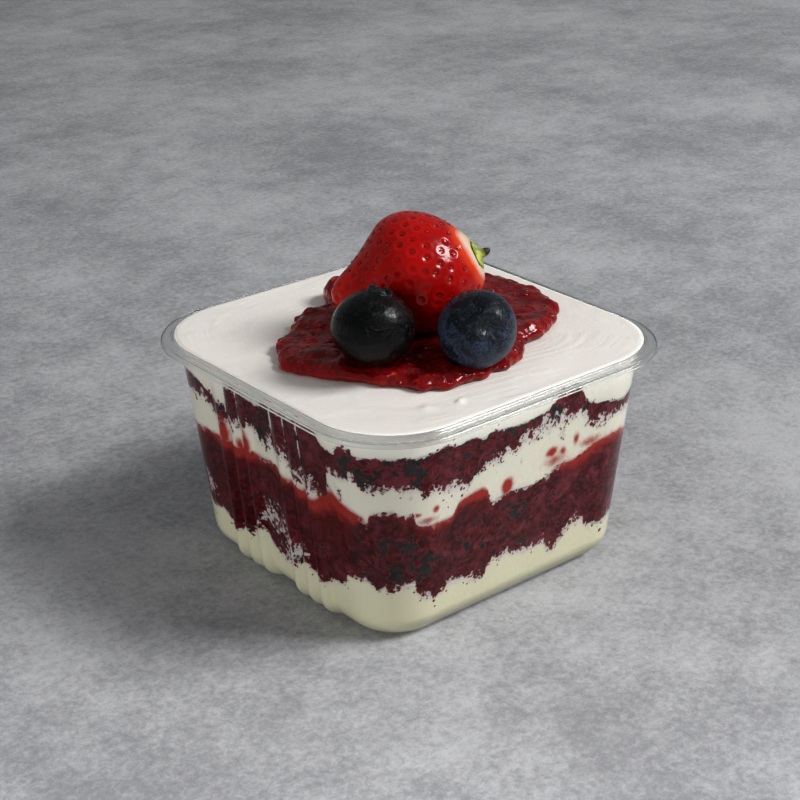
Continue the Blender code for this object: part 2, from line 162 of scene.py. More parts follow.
LOOSE_CRUMBS = [
    (2.715, 33.8, 0.01, 1.7, 1.0), (2.91, 34.6, 0.007, 0.8, 0.8), (3.32, 33.9, 0.006, 0.9, 0.9),
    (3.37, 38.2, 0.03, 1.4, 0.62), (3.43, 38.4, 0.012, 1.2, 0.6), (3.49, 37.0, 0.014, 2.0, 0.75),
    (3.27, 37.6, 0.02, 0.9, 0.55), (2.17, 34.9, 0.02, 1.6, 0.6), (2.31, 35.5, 0.014, 1.0, 0.6),
    (2.37, 35.4, 0.012, 1.0, 0.6), (2.48, 33.2, 0.012, 1.2, 0.6), (3.16, 9.4, 0.03, 0.8, 0.6),
    (2.35, 9.2, 0.03, 1.2, 0.6), (3.235, 46.6, 0.005, 0.5, 0.9), (3.205, 45.0, 0.005, 0.5, 0.8),
    (3.6, 37.0, 0.02, 1.2, 0.5), (0.45, 34.5, 0.03, 1.2, 0.6), (1.3, 34.5, 0.03, 1.2, 0.6)]
# Thin cream over cake, and smooth dark patches where the cake stands off the wall, with the grey of that
# air gap's reflection painted in
VEILS = [
    (2.32, 18.4, 0.052, 3.4, 1.5), (2.36, 16.0, 0.052, 4.0, 1.6), (2.41, 13.2, 0.045, 4.2, 1.6),
    (2.46, 12.2, 0.03, 3.6, 1.4), (2.51, 14.0, 0.02, 3.4, 1.35), (1.95, 16.5, 0.07, 4.0, 0.9),
    (2.25, 13.5, 0.02, 2.0, 0.9), (3.16, 10.4, 0.035, 1.2, 0.4), (3.6, 14.2, 0.02, 0.9, 0.6),
    (3.5, 37.4, 0.07, 2.0, 0.8), (3.64, 35.8, 0.06, 1.6, 0.7), (3.38, 38.4, 0.05, 1.2, 0.6),
    (2.2, 36.6, 0.045, 1.4, 0.7), (2.42, 34.4, 0.05, 1.3, 0.6), (2.52, 32.4, 0.03, 1.4, 0.5),
    (2.61, 33.5, 0.02, 1.8, 0.5), (0.5, 14.0, 0.05, 2.6, 0.8), (1.3, 14.5, 0.05, 2.6, 0.7)]
CHARCOAL = [
    (2.35, 40.5, 0.06, 4.0, 0.8), (2.2, 41.0, 0.02, 4.0, 0.6), (2.52, 40.0, 0.05, 4.0, 0.5),
    (2.74, 39.6, 0.05, 2.6, 0.6), (2.9, 41.2, 0.08, 2.4, 0.9), (3.3, 42.0, 0.1, 1.4, 0.8),
    (3.45, 42.6, 0.03, 2.6, 1.0), (2.842, 23.0, 0.022, 2.2, 1.3), (2.905, 23.4, 0.042, 2.4, 1.5),
    (2.955, 18.6, 0.044, 2.8, 1.5), (2.87, 17.0, 0.024, 2.6, 1.2), (3.15, 22.6, 0.05, 2.4, 1.0),
    (3.3, 22.4, 0.06, 2.8, 1.0), (3.42, 22.4, 0.05, 3.0, 0.8), (0.5, 22.0, 0.08, 3.0, 0.8),
    (1.2, 41.0, 0.1, 3.0, 0.8), (1.45, 20.0, 0.06, 3.0, 0.8)]
# Cream drawn up the narrow grooves between the ribs, with the grooves' glints painted in as pale streaks:
# (turn, foot, half width in turns)
GROOVE_CREAM_AND_GLINTS = [
    (2.118, 38.0, 0.003), (2.15, 36.0, 0.0045), (2.219, 34.0, 0.005), (2.402, 37.0, 0.0055),
    (2.471, 36.0, 0.004), (2.54, 34.5, 0.005), (0.15, 37.0, 0.0045), (0.219, 36.0, 0.005),
    (0.402, 36.0, 0.0045), (0.471, 37.0, 0.004), (0.54, 36.0, 0.005)]

# Spatula strokes across the cream: (middle x, middle y, half length, half width, heading, depth)
STROKES = [
    (-28.0, -20.0, 16.0, 3.0, -60, 0.1), (-22.0, -33.0, 14.0, 2.4, -8, -0.08),
    (6.0, -36.0, 18.0, 2.0, 6, 0.1), (31.0, -22.0, 15.0, 2.6, 72, -0.09),
    (-31.0, 14.0, 16.0, 2.4, 86, 0.09), (24.0, 33.0, 16.0, 2.6, 12, 0.1),
    (-14.0, 33.0, 14.0, 2.2, -14, -0.1), (34.0, 6.0, 12.0, 1.6, 88, 0.08),
    (-24.5, -29.5, 9.0, 0.7, -38, -0.12)]
# Small peaks and dabs left on the cream: (x, y, height, radius)
CREAM_PEAKS = [
    (-14.9, -34.2, 0.9, 0.7), (-21.4, -31.9, 0.5, 1.4), (-13.6, -33.6, 0.5, 0.5),
    (26.0, 25.0, 0.4, 1.0)]

# Compote: radii of its outline every 15 degrees, its thickness, and heaps as (x, y, height, reach)
COMPOTE_OUTLINE = [
    34.6, 33.2, 32.2, 31.5, 30.4, 30.0, 27.5, 21.5, 20.5, 23.8, 24.6, 29.0, 31.8, 29.8, 28.8, 29.2,
    32.2, 30.8, 29.4, 28.6, 26.0, 29.6, 32.6, 35.0]
COMPOTE_THICKNESS = 2.9
COMPOTE_HEAPS = [(-11.0, 12.5, 1.4, 12.0), (0.0, 22.5, 3.0, 8.0)]
PULP_LUMPS = 230

# Blueberries: centre, width, height along the crown's axis, and that axis
LEFT_BLUEBERRY = ((-19.3, -13.2, 60.2), 17.0, 15.4, (0.24, -0.02, 0.97))
RIGHT_BLUEBERRY = ((-2.8, -25.5, 59.2), 15.9, 15.4, (-0.336, -0.851, 0.402))
RUBBED_HEADING = (-0.352, -0.499, 0.792)
# Crowns as (radius, height over the shoulder): an open ring of flaps, and one shrivelled nearly shut
OPEN_CROWN = [
    (3.2, -0.1), (2.75, 0.05), (2.5, 0.5), (2.3, 0.62), (2.1, 0.25), (1.6, -0.55), (0.8, -0.95),
    (0.0, -0.9)]
SHUT_CROWN = [
    (3.0, 0.0), (2.4, 0.0), (1.9, -0.05), (1.45, -0.2), (1.0, -0.42), (0.55, -0.55), (0.0, -0.6)]

# Strawberry: (distance from the tip, radius) along its axis; it lies on its side
STRAWBERRY_PROFILE = [
    (0.0, 0.0), (0.35, 2.0), (1.1, 3.4), (3.0, 5.0), (6.0, 6.8), (9.0, 8.8), (12.0, 11.0), (15.0, 12.9),
    (18.0, 13.7), (21.0, 13.6), (24.0, 12.6), (26.6, 11.0), (28.8, 8.8), (30.5, 6.5), (31.5, 4.4),
    (31.6, 2.9), (31.1, 1.5), (30.8, 0.0)]
STRAWBERRY_END = 30.8
STRAWBERRY_LENGTH = 31.6
STRAWBERRY_WIDEST = 18.0
STRAWBERRY_CENTRE = (-0.3, -3.4, 63.7)
STRAWBERRY_TIP_HEADING = 140.6
STRAWBERRY_TIP_DIP = 18.5
STRAWBERRY_FLATNESS = 0.92
STRAWBERRY_SEAT = 0.94
STRAWBERRY_SKEW = 0.12
SEED_SPACING = 3.1
LAST_SEED = 29.9
PIT_RADIUS = 0.72
PIT_DEPTH = 0.26
# Calyx: (radius, height over the strawberry's end), from under the leaf to the stalk's tip
CALYX_SECTION = [(0.0, 0.10), (1.2, 0.35), (2.4, 0.75), (3.0, 0.72), (3.3, 0.80), (3.0, 1.00),
                 (2.2, 1.15), (1.4, 1.45), (1.05, 2.0), (0.85, 2.8), (0.45, 3.5), (0.0, 3.8)]

# Colours, as linear red, green and blue
CREAM_UPPER = (0.83, 0.795, 0.745)
CREAM_MIDDLE = (0.70, 0.675, 0.585)
CREAM_LOWER = (0.67, 0.64, 0.485)
CREAM_THIN = (0.55, 0.50, 0.50)
SPONGE_DEEP = (0.030, 0.0021, 0.0030)
SPONGE_BRIGHT = (0.130, 0.0075, 0.011)
# pale haze of the cake's wisps; painted light makes it stronger on the lit side
SPONGE_WISP_AND_PAINTED_LIGHT = (0.22, 0.042, 0.060)
SPONGE_LINE = (0.21, 0.016, 0.019)
SPONGE_FRINGE = (0.135, 0.011, 0.015)
# grey of an air gap's reflection between cake and plastic, painted into the dark patches
SPONGE_PAINTED_GAP_GREY = (0.016, 0.014, 0.015)
SPONGE_PAINTED_GAP_GREY_PALE = (0.042, 0.028, 0.030)
JAM_BRIGHT = (0.35, 0.030, 0.022)
JAM_DEEP = (0.105, 0.0045, 0.0048)
COMPOTE_DEEP = (0.100, 0.0022, 0.0040)
COMPOTE_RED = (0.22, 0.0050, 0.0060)
COMPOTE_BRIGHT = (0.40, 0.022, 0.014)
# purplish grey sky reflection on the gel, painted in
COMPOTE_PAINTED_SHEEN = (0.16, 0.030, 0.040)
COMPOTE_THIN = (0.36, 0.014, 0.012)
STRAWBERRY_DEEP = (0.30, 0.0010, 0.0018)
STRAWBERRY_RED = (0.43, 0.0030, 0.0022)
STRAWBERRY_TIP = (0.55, 0.030, 0.010)
STRAWBERRY_ORANGE = (0.64, 0.060, 0.014)
STRAWBERRY_PALE = (0.72, 0.56, 0.42)
# painted shade in the pits; the next colour is a painted sheen on their brims
STRAWBERRY_PIT_SHADE = (0.15, 0.001, 0.002)
STRAWBERRY_BRIM_SHEEN = (0.60, 0.045, 0.035)
SEED_RED = (0.20, 0.012, 0.006)
SEED_YELLOW = (0.20, 0.115, 0.020)
LEAF_GREEN = (0.22, 0.30, 0.03)
LEAF_YELLOW = (0.52, 0.54, 0.13)
LEAF_DRY = (0.035, 0.030, 0.012)
BLUEBERRY_SKIN = (0.0012, 0.0016, 0.0018)
BLUEBERRY_BLOOM = (0.066, 0.092, 0.148)
BLUEBERRY_CROWN = (0.030, 0.034, 0.038)
TABLE_DARK = (0.36, 0.362, 0.378)
TABLE_PALE = (0.65, 0.653, 0.672)
TABLE_PORE = (0.22, 0.22, 0.23)
TABLE_SHADE = (0.0, 0.0, 0.0)
TABLE_BACK = (0.63, 0.777, 0.0)    # heading from the viewer across the table

# Camera and lights
EYE = Vector((-217.72, -266.01, 192.10)) * MM
VIEW_AZIMUTH = -39.02
VIEW_ELEVATION = 24.70
VIEW_ROLL = -1.0
LENS = 78.66
ROOM_LIGHT = 0.2


# ---- Noise and small sums ----

def lattice(cell, seed):
    """A steady pseudo-random value from 0 to 1 for whole-number cells."""
    mixed = cell[..., 0] * 374761393 + cell[..., 1] * 668265263 + cell[..., 2] * 1440662683
    mixed = mixed + seed * 974711
    mixed = (mixed ^ (mixed >> 13)) * 1274126177
    mixed = (mixed ^ (mixed >> 15)) * 668265263
    return ((mixed ^ (mixed >> 16)) & 0xFFFF) / 65535.0


def ease(share):
    """A share held between 0 and 1, with a soft start and end."""
    share = np.clip(share, 0.0, 1.0)
    return share * share * (3.0 - 2.0 * share)


def ripple(points, width, seed):
    """Smooth seeded unevenness from -1 to 1, with features about as wide as given."""
    scaled = np.asarray(points) / width + 500.37
    base = np.floor(scaled).astype(np.int64)
    part = ease(scaled - base)
    total = 0.0
    for corner in np.ndindex(2, 2, 2):
        weight = np.ones(scaled.shape[:-1])
        for axis in range(3):
            weight = weight * (part[..., axis] if corner[axis] else 1.0 - part[..., axis])
        total = total + weight * lattice(base + np.array(corner), seed)
    return 2.0 * total - 1.0


def rough(points, octaves, seed):
    """Several ripples together; octaves are (width, height) pairs."""
    return sum(height * ripple(points, width, seed + 7 * index)
               for index, (width, height) in enumerate(octaves))


def ring(radius, turn):
    """Points on a flat circle, where a ripple meets itself again after one turn."""
    return np.stack([np.cos(turn) * radius, np.sin(turn) * radius, turn * 0], axis=-1)


def round_turns(columns):
    return np.linspace(0, ROUND, columns, endpoint=False)


def around(values, angle):
    """A smooth curve through values spread evenly over one turn."""
    values = np.asarray(values)
    place = (np.asarray(angle) / ROUND) % 1.0 * len(values)
    index = np.floor(place).astype(int) % len(values)
    share = ease(place - np.floor(place))
    return values[index] * (1 - share) + values[(index + 1) % len(values)] * share


def smooth_line(knots, count):
    """Points evenly spread along a smooth curve through the knots."""
    knots = np.asarray(knots, dtype=float)
    padded = np.vstack([2 * knots[0] - knots[1], knots, 2 * knots[-1] - knots[-2]])
    fine = []
    for index in range(len(knots) - 1):
        a, b, c, d = padded[index:index + 4]
        for share in np.linspace(0, 1, 24, endpoint=False):
            fine.append(0.5 * (2 * b + (c - a) * share + (2 * a - 5 * b + 4 * c - d) * share ** 2
                               + (3 * b - a - 3 * c + d) * share ** 3))
    fine = np.array(fine + [knots[-1]])
    length = np.concatenate([[0], np.cumsum(np.linalg.norm(np.diff(fine, axis=0), axis=1))])
    places = np.linspace(0, length[-1], count)
    columns = [np.interp(places, length, fine[:, axis]) for axis in range(fine.shape[1])]
    return np.stack(columns, axis=1)


# ---- Meshes ----

def rolled(name, points, **marks):
    """A grid primitive rolled into a closed skin: points[row, column] in millimetres.

    The first and last rows are poles. marks are float attributes, one value a point.
    """
    rows, columns, _ = points.shape
    bpy.ops.object.select_all(action="DESELECT")
    bpy.ops.mesh.primitive_grid_add(x_subdivisions=columns, y_subdivisions=rows - 1)
    made = bpy.context.object
    made.name = made.data.name = name
    wrapped = np.concatenate([points, points[:, :1]], axis=1) * MM
    made.data.vertices.foreach_set("co", wrapped.ravel())
    for mark, values in marks.items():
        values = np.broadcast_to(values, points.shape[:2])
        layer = made.data.attributes.new(mark, "FLOAT", "POINT")
        layer.data.foreach_set("value", np.concatenate([values, values[:, :1]], axis=1).ravel())
    bpy.ops.object.mode_set(mode="EDIT")
    bpy.ops.mesh.select_all(action="SELECT")
    bpy.ops.mesh.remove_doubles(threshold=WELD)
    bpy.ops.mesh.normals_make_consistent(inside=False)
    bpy.ops.mesh.select_all(action="DESELECT")
    bpy.ops.object.mode_set(mode="OBJECT")
    bpy.ops.object.shade_smooth()
    while made.data.uv_layers:
        made.data.uv_layers.remove(made.data.uv_layers[0])
    return made


def pellet():
    """A small ball of one millimetre radius, to be copied."""
    bpy.ops.object.select_all(action="DESELECT")
    bpy.ops.mesh.primitive_ico_sphere_add(subdivisions=2, radius=MM)
    return bpy.context.object


def scattered(name, placements):
    """Pellets stretched and placed by matrices in metres, each with its own mesh, joined."""
    first = pellet()
    copies = []
    for placement in placements:
        copy = first.copy()
        copy.data = first.data.copy()
        copy.data.transform(placement)
        bpy.context.scene.collection.objects.link(copy)
        copies.append(copy)
    bpy.data.objects.remove(first)
    bpy.ops.object.select_all(action="DESELECT")
    for copy in copies:
        copy.select_set(True)
    bpy.context.view_layer.objects.active = copies[0]
    bpy.ops.object.join()
    made = bpy.context.object
    made.name = made.data.name = name
    return made


def crumple(piece, depth, width, seed):
    """Move each point of a mesh along its normal by a seeded unevenness."""
    count = len(piece.data.vertices)
    places, normals = np.empty(count * 3), np.empty(count * 3)
    piece.data.vertices.foreach_get("co", places)
    piece.data.vertex_normals.foreach_get("vector", normals)
    places, normals = places.reshape(-1, 3), normals.reshape(-1, 3)
    shifted = places + normals * (depth * ripple(places / MM, width, seed))[:, None] * MM
    piece.data.vertices.foreach_set("co", shifted.ravel())
    piece.data.update()


def turned(points, placement):
    """Points carried to where a matrix puts them."""
    return points @ np.array(placement.to_3x3()).T + np.array(placement.translation)


def dress(piece, finish, *nodes, slot):
    """Give a piece its finish and its body, and hide the parts it stands for; slot is not used."""
    piece.data.materials.clear()
    piece.data.materials.append(finish)
    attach(piece, "root")
    if nodes:
        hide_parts(*nodes)


# ---- Finishes ----

class Amount:
    """A number that varies over a surface; reckoning with it adds nodes to its finish."""

    def __init__(self, finish, socket):
        self.finish = finish
        self.socket = socket

    def reckon(self, operation, first, second=0.0):
        node = self.finish.add("Math", operation=operation)
        self.finish.feed(node.inputs[0], first)
        self.finish.feed(node.inputs[1], second)
        return Amount(self.finish, node.outputs[0])

    def __add__(self, other):
        return self.reckon("ADD", self, other)

    def __sub__(self, other):
        return self.reckon("SUBTRACT", self, other)

    def __rsub__(self, other):
        return self.reckon("SUBTRACT", other, self)

    def __mul__(self, other):
        return self.reckon("MULTIPLY", self, other)

    def at_most(self, other):
        return self.reckon("MINIMUM", self, other)

    def at_least(self, other):
        return self.reckon("MAXIMUM", self, other)

    def size(self):
        return self.reckon("ABSOLUTE", self)

    def swing(self, height):
        """A noise moved to swing about zero."""
        return (self - 0.5) * height

    def span(self, low, high, to_low=0.0, to_high=1.0):
        """Eased from one number to another while this amount goes from low to high."""
        node = self.finish.add("MapRange", interpolation_type="SMOOTHSTEP")
        self.finish.feed(node.inputs["Value"], self)
        node.inputs["From Min"].default_value = low
        node.inputs["From Max"].default_value = high
        node.inputs["To Min"].default_value = to_low
        node.inputs["To Max"].default_value = to_high
        return Amount(self.finish, node.outputs["Result"])

    def between(self, first, second):
        """The colour that lies this far from one colour to another."""
        node = self.finish.add("Mix", data_type="RGBA")
        self.finish.feed(node.inputs[0], self)
        self.finish.feed(node.inputs[6], first)
        self.finish.feed(node.inputs[7], second)
        return node.outputs[2]


class Finish:
    """A node material and short ways to add to it."""

    def __init__(self, name, **numbers):
        self.material = bpy.data.materials.new(name)
        self.material.use_nodes = True
        self.tree = self.material.node_tree
        self.shader = self.tree.nodes["Principled BSDF"]
        for socket, value in numbers.items():
            self.shader.inputs[socket.replace("_", " ")].default_value = value

    def add(self, kind, **settings):
        node = self.tree.nodes.new("ShaderNode" + kind)
        for setting, value in settings.items():
            setattr(node, setting, value)
        return node

    def feed(self, socket, value):
        """Link an amount or an output to a socket, or set a plain value on it."""
        if isinstance(value, Amount):
            value = value.socket
        if isinstance(value, bpy.types.NodeSocket):
            self.tree.links.new(value, socket)
        elif isinstance(value, tuple) and len(value) == 3 and socket.type == "RGBA":
            socket.default_value = (*value, 1.0)
        else:
            socket.default_value = value

    def place(self, stretch=(1, 1, 1)):
        coordinates = self.add("TexCoord").outputs["Object"]
        if stretch == (1, 1, 1):
            return coordinates
        mapping = self.add("Mapping")
        mapping.inputs["Scale"].default_value = stretch
        self.feed(mapping.inputs["Vector"], coordinates)
        return mapping.outputs["Vector"]

    def height(self):
        split = self.add("SeparateXYZ")
        self.feed(split.inputs[0], self.place())
        return Amount(self, split.outputs["Z"])

    def along(self, heading):
        """How far each place lies along a heading."""
        node = self.add("VectorMath", operation="DOT_PRODUCT")
        self.feed(node.inputs[0], self.place())
        node.inputs[1].default_value = heading
        return Amount(self, node.outputs["Value"])

    def mark(self, name):
        return Amount(self, self.add("Attribute", attribute_name=name).outputs["Fac"])

    def noise(self, width, detail=3.0, warp=0.0, stretch=(1, 1, 1), roughness=0.55, place=None):
        """Noise from 0 to 1 with features of a width in millimetres."""
        node = self.add("TexNoise")
        node.inputs["Scale"].default_value = 1 / (width * MM)
        node.inputs["Detail"].default_value = detail
        node.inputs["Distortion"].default_value = warp
        node.inputs["Roughness"].default_value = roughness
        self.feed(node.inputs["Vector"], self.place(stretch) if place is None else place)
        return Amount(self, node.outputs["Fac"])

    def specks(self, width, warp=0.0):
        """Distance to the nearest of scattered points in steps of a width, and its own share."""
        place = self.place()
        if warp:
            push = self.add("TexNoise")
            push.inputs["Scale"].default_value = 1 / (width * MM)
            self.feed(push.inputs["Vector"], self.place())
            place = self.shifted(push.outputs["Color"], (warp * MM,) * 3, place)
        node = self.add("TexVoronoi")
        node.inputs["Scale"].default_value = 1 / (width * MM)
        self.feed(node.inputs["Vector"], place)
        split = self.add("SeparateColor")
        self.feed(split.inputs[0], node.outputs["Color"])
        return Amount(self, node.outputs["Distance"]), Amount(self, split.outputs[0])

    def shifted(self, push, reach, place):
        """A place moved by a push times a reach."""
        node = self.add("VectorMath", operation="MULTIPLY_ADD")
        self.feed(node.inputs[0], push)
        node.inputs[1].default_value = reach
        self.feed(node.inputs[2], place)
        return node.outputs["Vector"]

    def colour(self, value):
        self.feed(self.shader.inputs["Base Color"], value)

    def bump(self, relief, depth):
        """Relief of a depth in millimetres."""
        node = self.add("Bump")
        node.inputs["Strength"].default_value = 1.0
        node.inputs["Distance"].default_value = depth * MM
        self.feed(node.inputs["Height"], relief)
        self.feed(self.shader.inputs["Normal"], node.outputs["Normal"])

    def soften(self, weight, reach, colours):
        """Light that wanders under the surface, to a reach in millimetres."""
        self.shader.inputs["Subsurface Weight"].default_value = weight
        self.shader.inputs["Subsurface Scale"].default_value = reach * MM
        self.shader.inputs["Subsurface Radius"].default_value = colours


def clear_plastic():
    """Clear plastic, a little wavy, that lets lamplight straight through to the food."""
    finish = Finish("clear plastic", Base_Color=(0.95, 0.965, 0.96, 1), Roughness=0.07, IOR=1.43,
                    Transmission_Weight=1.0)
    finish.bump(finish.noise(9.0, detail=2.0), 0.03)
    through = finish.add("BsdfTransparent")
    through.inputs["Color"].default_value = (0.93, 0.94, 0.94, 1)
    either = finish.add("MixShader")
    finish.feed(either.inputs[0], finish.add("LightPath").outputs["Is Shadow Ray"])
    finish.feed(either.inputs[1], finish.shader.outputs[0])
    finish.feed(either.inputs[2], through.outputs[0])
    finish.feed(finish.tree.nodes["Material Output"].inputs["Surface"], either.outputs[0])
    return finish.material


def sponge_colour(finish, patches):
    """Deep red crumb with paler wisps that painted light makes stronger on the lit side, and smooth
    charcoal patches with thin red outlines, which carry the painted reflection of an air gap behind the
    plastic.
    """
    away, share = finish.specks(0.85, warp=1.0)
    coarse = finish.noise(2.6, detail=6.0, warp=0.5, roughness=0.65)
    grain = (share * 0.55 - away * 0.30) * 0.7 + coarse * 0.9
    red = grain.span(0.26, 0.86).between(SPONGE_DEEP, SPONGE_BRIGHT)
    wisps = finish.noise(5.0, detail=7.0, warp=0.9, roughness=0.65).span(0.49, 0.66, 0.0, 0.75)
    # painted light: the bright mark makes the pale wisps strongest on the lit -Y side
    beside = finish.mark("bright").span(0.0, 1.0, 0.35, 1.0)
    red = (wisps * beside).between(red, SPONGE_WISP_AND_PAINTED_LIGHT)
    red = finish.mark("sponge").span(0.0, 0.7, 0.55, 0.0).between(red, SPONGE_FRINGE)
    place = patches + finish.noise(1.3, detail=4.0).swing(0.32)
    outlined = place.span(0.575, 0.61).between(red, SPONGE_LINE)
    # painted reflection: the smooth patches take the grey that an air gap behind the plastic would show
    smooth = grain.span(0.35, 0.85).between(SPONGE_PAINTED_GAP_GREY, SPONGE_PAINTED_GAP_GREY_PALE)
    return place.span(0.612, 0.635).between(outlined, smooth)


def cream_colour(finish):
    """Cream that is yellower the deeper it lies, and cooler where it is thin beside the cake."""
    height = finish.height()
    low = height.span(0.004, 0.030).between(CREAM_LOWER, CREAM_MIDDLE)
    deep = height.span(0.040, 0.049).between(low, CREAM_UPPER)
    beside = finish.mark("sponge") + finish.noise(3.0, detail=4.0).swing(0.9)
    return beside.span(-0.85, 0.05, 0.0, 0.8).between(deep, CREAM_THIN)


def cake_share(finish):
    """1 in the cake and 0 in the cream, with a crumbly edge and stray crumbs beside it."""
    sponge = finish.mark("sponge")
    place = sponge * 0.29 * (1.0 - finish.mark("veil") * 0.95)
    crumb = finish.noise(1.0, detail=4.0, warp=0.4, roughness=0.6).swing(0.95)
    clump = finish.noise(2.8, detail=3.0, warp=0.8, stretch=(1, 1, 0.65)).swing(0.8)
    edge = (place + (crumb + clump)).span(-0.055, 0.060)
    away, share = finish.specks(1.15)
    speck = (share * 0.36 + sponge.at_most(0.0) * 0.40 - away).span(0.0, 0.05)
    cake = edge.at_least(speck).at_least(place.span(0.24, 0.285))
    return cake * sponge.span(-0.99, -0.85)


def spatula_lines(finish):
    """Fine lines that follow the edge of the tub, bent here and there."""
    inset = finish.add("CombineXYZ")
    finish.feed(inset.inputs["X"], finish.mark("inset"))
    bent = finish.shifted(finish.place(), (0.16, 0.13, 0.0), inset.outputs["Vector"])
    lines = finish.noise(1.3, detail=4.0, roughness=0.6, place=bent)
    return lines * finish.noise(12.0, detail=2.0).span(0.44, 0.62, 0.1, 0.8)


def layer_finish(name, specular=0.0):
    """Cream, cake and jam as a layer's marks say, so that their edges run on between layers."""
    finish = Finish(name, Roughness=0.5, Specular_IOR_Level=specular)
    patches = finish.noise(2.9, detail=3.0, warp=0.7) + finish.mark("charcoal") * 0.17
    colour = cake_share(finish).between(cream_colour(finish), sponge_colour(finish, patches))
    jam = finish.mark("jam") + finish.noise(1.7, detail=4.0).swing(0.55)
    soaked = finish.mark("soak") + finish.noise(2.0, detail=4.0).swing(1.3)
    red = soaked.span(0.10, 0.85).between(JAM_BRIGHT, JAM_DEEP)
    finish.colour(jam.span(0.10, 0.80).between(colour, red))
    finish.soften(0.2, 0.9, (1.0, 0.6, 0.45))
    free_surface = finish.height().span(0.0488, 0.0494)
    relief = finish.noise(1.0, detail=5.0) * 0.3 + spatula_lines(finish) * free_surface
    finish.bump(relief, 0.35)
    return finish.material


def crumb_finish():
    """Loose crumbs of the same cake."""
    finish = Finish("loose crumb", Roughness=0.6)
    finish.colour(sponge_colour(finish, finish.noise(4.0)))
    finish.bump(finish.noise(0.4), 0.1)
    return finish.material


def compote_finish():
    """Glossy, dark red gel with brighter pulp and purplish patches of painted sheen."""
    finish = Finish("berry compote", Roughness=0.06, IOR=1.40)
    fruit = finish.noise(3.4, detail=3.0, warp=0.6).span(0.35, 0.66)
    colour = fruit.between(COMPOTE_DEEP, COMPOTE_RED)
    bright = finish.noise(2.0, detail=3.0, warp=0.5).span(0.56, 0.74)
    colour = bright.between(colour, COMPOTE_BRIGHT)
    # painted reflection: purplish grey patches of sky reflected on the gel
    painted_sheen = finish.noise(3.8, detail=4.0, warp=0.8).span(0.54, 0.70, 0.0, 0.28)
    colour = painted_sheen.between(colour, COMPOTE_PAINTED_SHEEN)
    finish.colour((finish.mark("thin") * 0.30).between(colour, COMPOTE_THIN))
    finish.soften(0.4, 2.4, (1.0, 0.10, 0.06))
    away, share = finish.specks(1.5, warp=0.8)
    beads = away.span(0.10, 0.50, 1.0, 0.0) * share.span(0.45, 0.70)
    finish.bump(beads + finish.noise(0.85, detail=1.5) * 0.38, 0.34)
    return finish.material


def strawberry_finish():
    """Glossy red skin, orange by the tip, with a pale shoulder under the calyx, painted shade in the pits
    and a painted sheen on their brims.
    """
    finish = Finish("strawberry skin", Roughness=0.18, IOR=1.38)
    along = finish.mark("along") + finish.noise(5.0) * 0.03
    colour = finish.noise(7.0, detail=2.0).span(0.3, 0.7).between(STRAWBERRY_DEEP, STRAWBERRY_RED)
    colour = along.span(0.0, 0.30, 0.55, 0.0).between(colour, STRAWBERRY_TIP)
    colour = along.span(0.93, 0.985).between(colour, STRAWBERRY_ORANGE)
    colour = along.span(0.976, 1.004).between(colour, STRAWBERRY_PALE)
    # painted shade darkens each pit, and a painted sheen lightens its raised brim
    colour = (finish.mark("pit") * 0.30).between(colour, STRAWBERRY_PIT_SHADE)
    finish.colour((finish.mark("brim") * 0.16).between(colour, STRAWBERRY_BRIM_SHEEN))
    finish.soften(0.25, 2.0, (1.0, 0.15, 0.08))
    finish.bump(finish.noise(0.9, detail=2.0), 0.02)
    return finish.material


def seed_finish():
    """Seeds that are red in some places and yellow in others."""
    finish = Finish("strawberry seed", Roughness=0.25)
    finish.colour(finish.noise(6.0).span(0.52, 0.62).between(SEED_RED, SEED_YELLOW))
    finish.bump(finish.noise(0.2), 0.03)
    return finish.material


def rubbed_share(finish, centre, heading):
    """From 0 to 1 where a berry's bloom is rubbed off, on the side that a heading points at."""
    ragged_edge = finish.noise(3.0, detail=4.0, warp=0.8).swing(0.009)
    middle = Vector(centre).dot(Vector(heading)) * MM
    return (finish.along(heading) + ragged_edge).span(middle + 0.0035, middle + 0.0068)


def blueberry_finish(name, berry, bloom, skin_roughness, relief_depth):
    """Blue-black skin under a rubbed bloom, with fine pale scratches."""
    finish = Finish(name, IOR=1.34)
    cloud = finish.noise(3.5, detail=5.0, warp=0.6, roughness=0.6).span(0.36, 0.68, 0.25, 1.0)
    scratch = finish.noise(1.5, detail=4.0, warp=2.5) - 0.5
    scratch = scratch.size().span(0.0, 0.06, 1.0, 0.0)
    kept = 1.0 - rubbed_share(finish, berry[0], RUBBED_HEADING) * 0.72
    dust = cloud * (kept * bloom)
    dust = dust * 0.36 + scratch * dust * 1.1
    colour = dust.at_most(1.0).between(BLUEBERRY_SKIN, BLUEBERRY_BLOOM)
    finish.colour((finish.mark("crown") * 0.6).between(colour, BLUEBERRY_CROWN))
    finish.feed(finish.shader.inputs["Roughness"], dust.span(0.0, 0.8, skin_roughness, 0.55))
    fine = finish.noise(0.5, detail=4.0, warp=1.0) * 0.6
    relief = finish.noise(2.2, detail=3.0, warp=0.8) + fine
    finish.bump(relief + scratch * 0.30, relief_depth)
    return finish.material


def leaf_finish():
    """Yellow-green leaf, brown at its dry tip."""
    finish = Finish("strawberry leaf", Roughness=0.5)
    green = finish.noise(1.5, detail=3.0).span(0.35, 0.65).between(LEAF_GREEN, LEAF_YELLOW)
    finish.colour(finish.mark("dry").between(green, LEAF_DRY))
    finish.bump(finish.noise(0.5, detail=3.0), 0.1)
    return finish.material


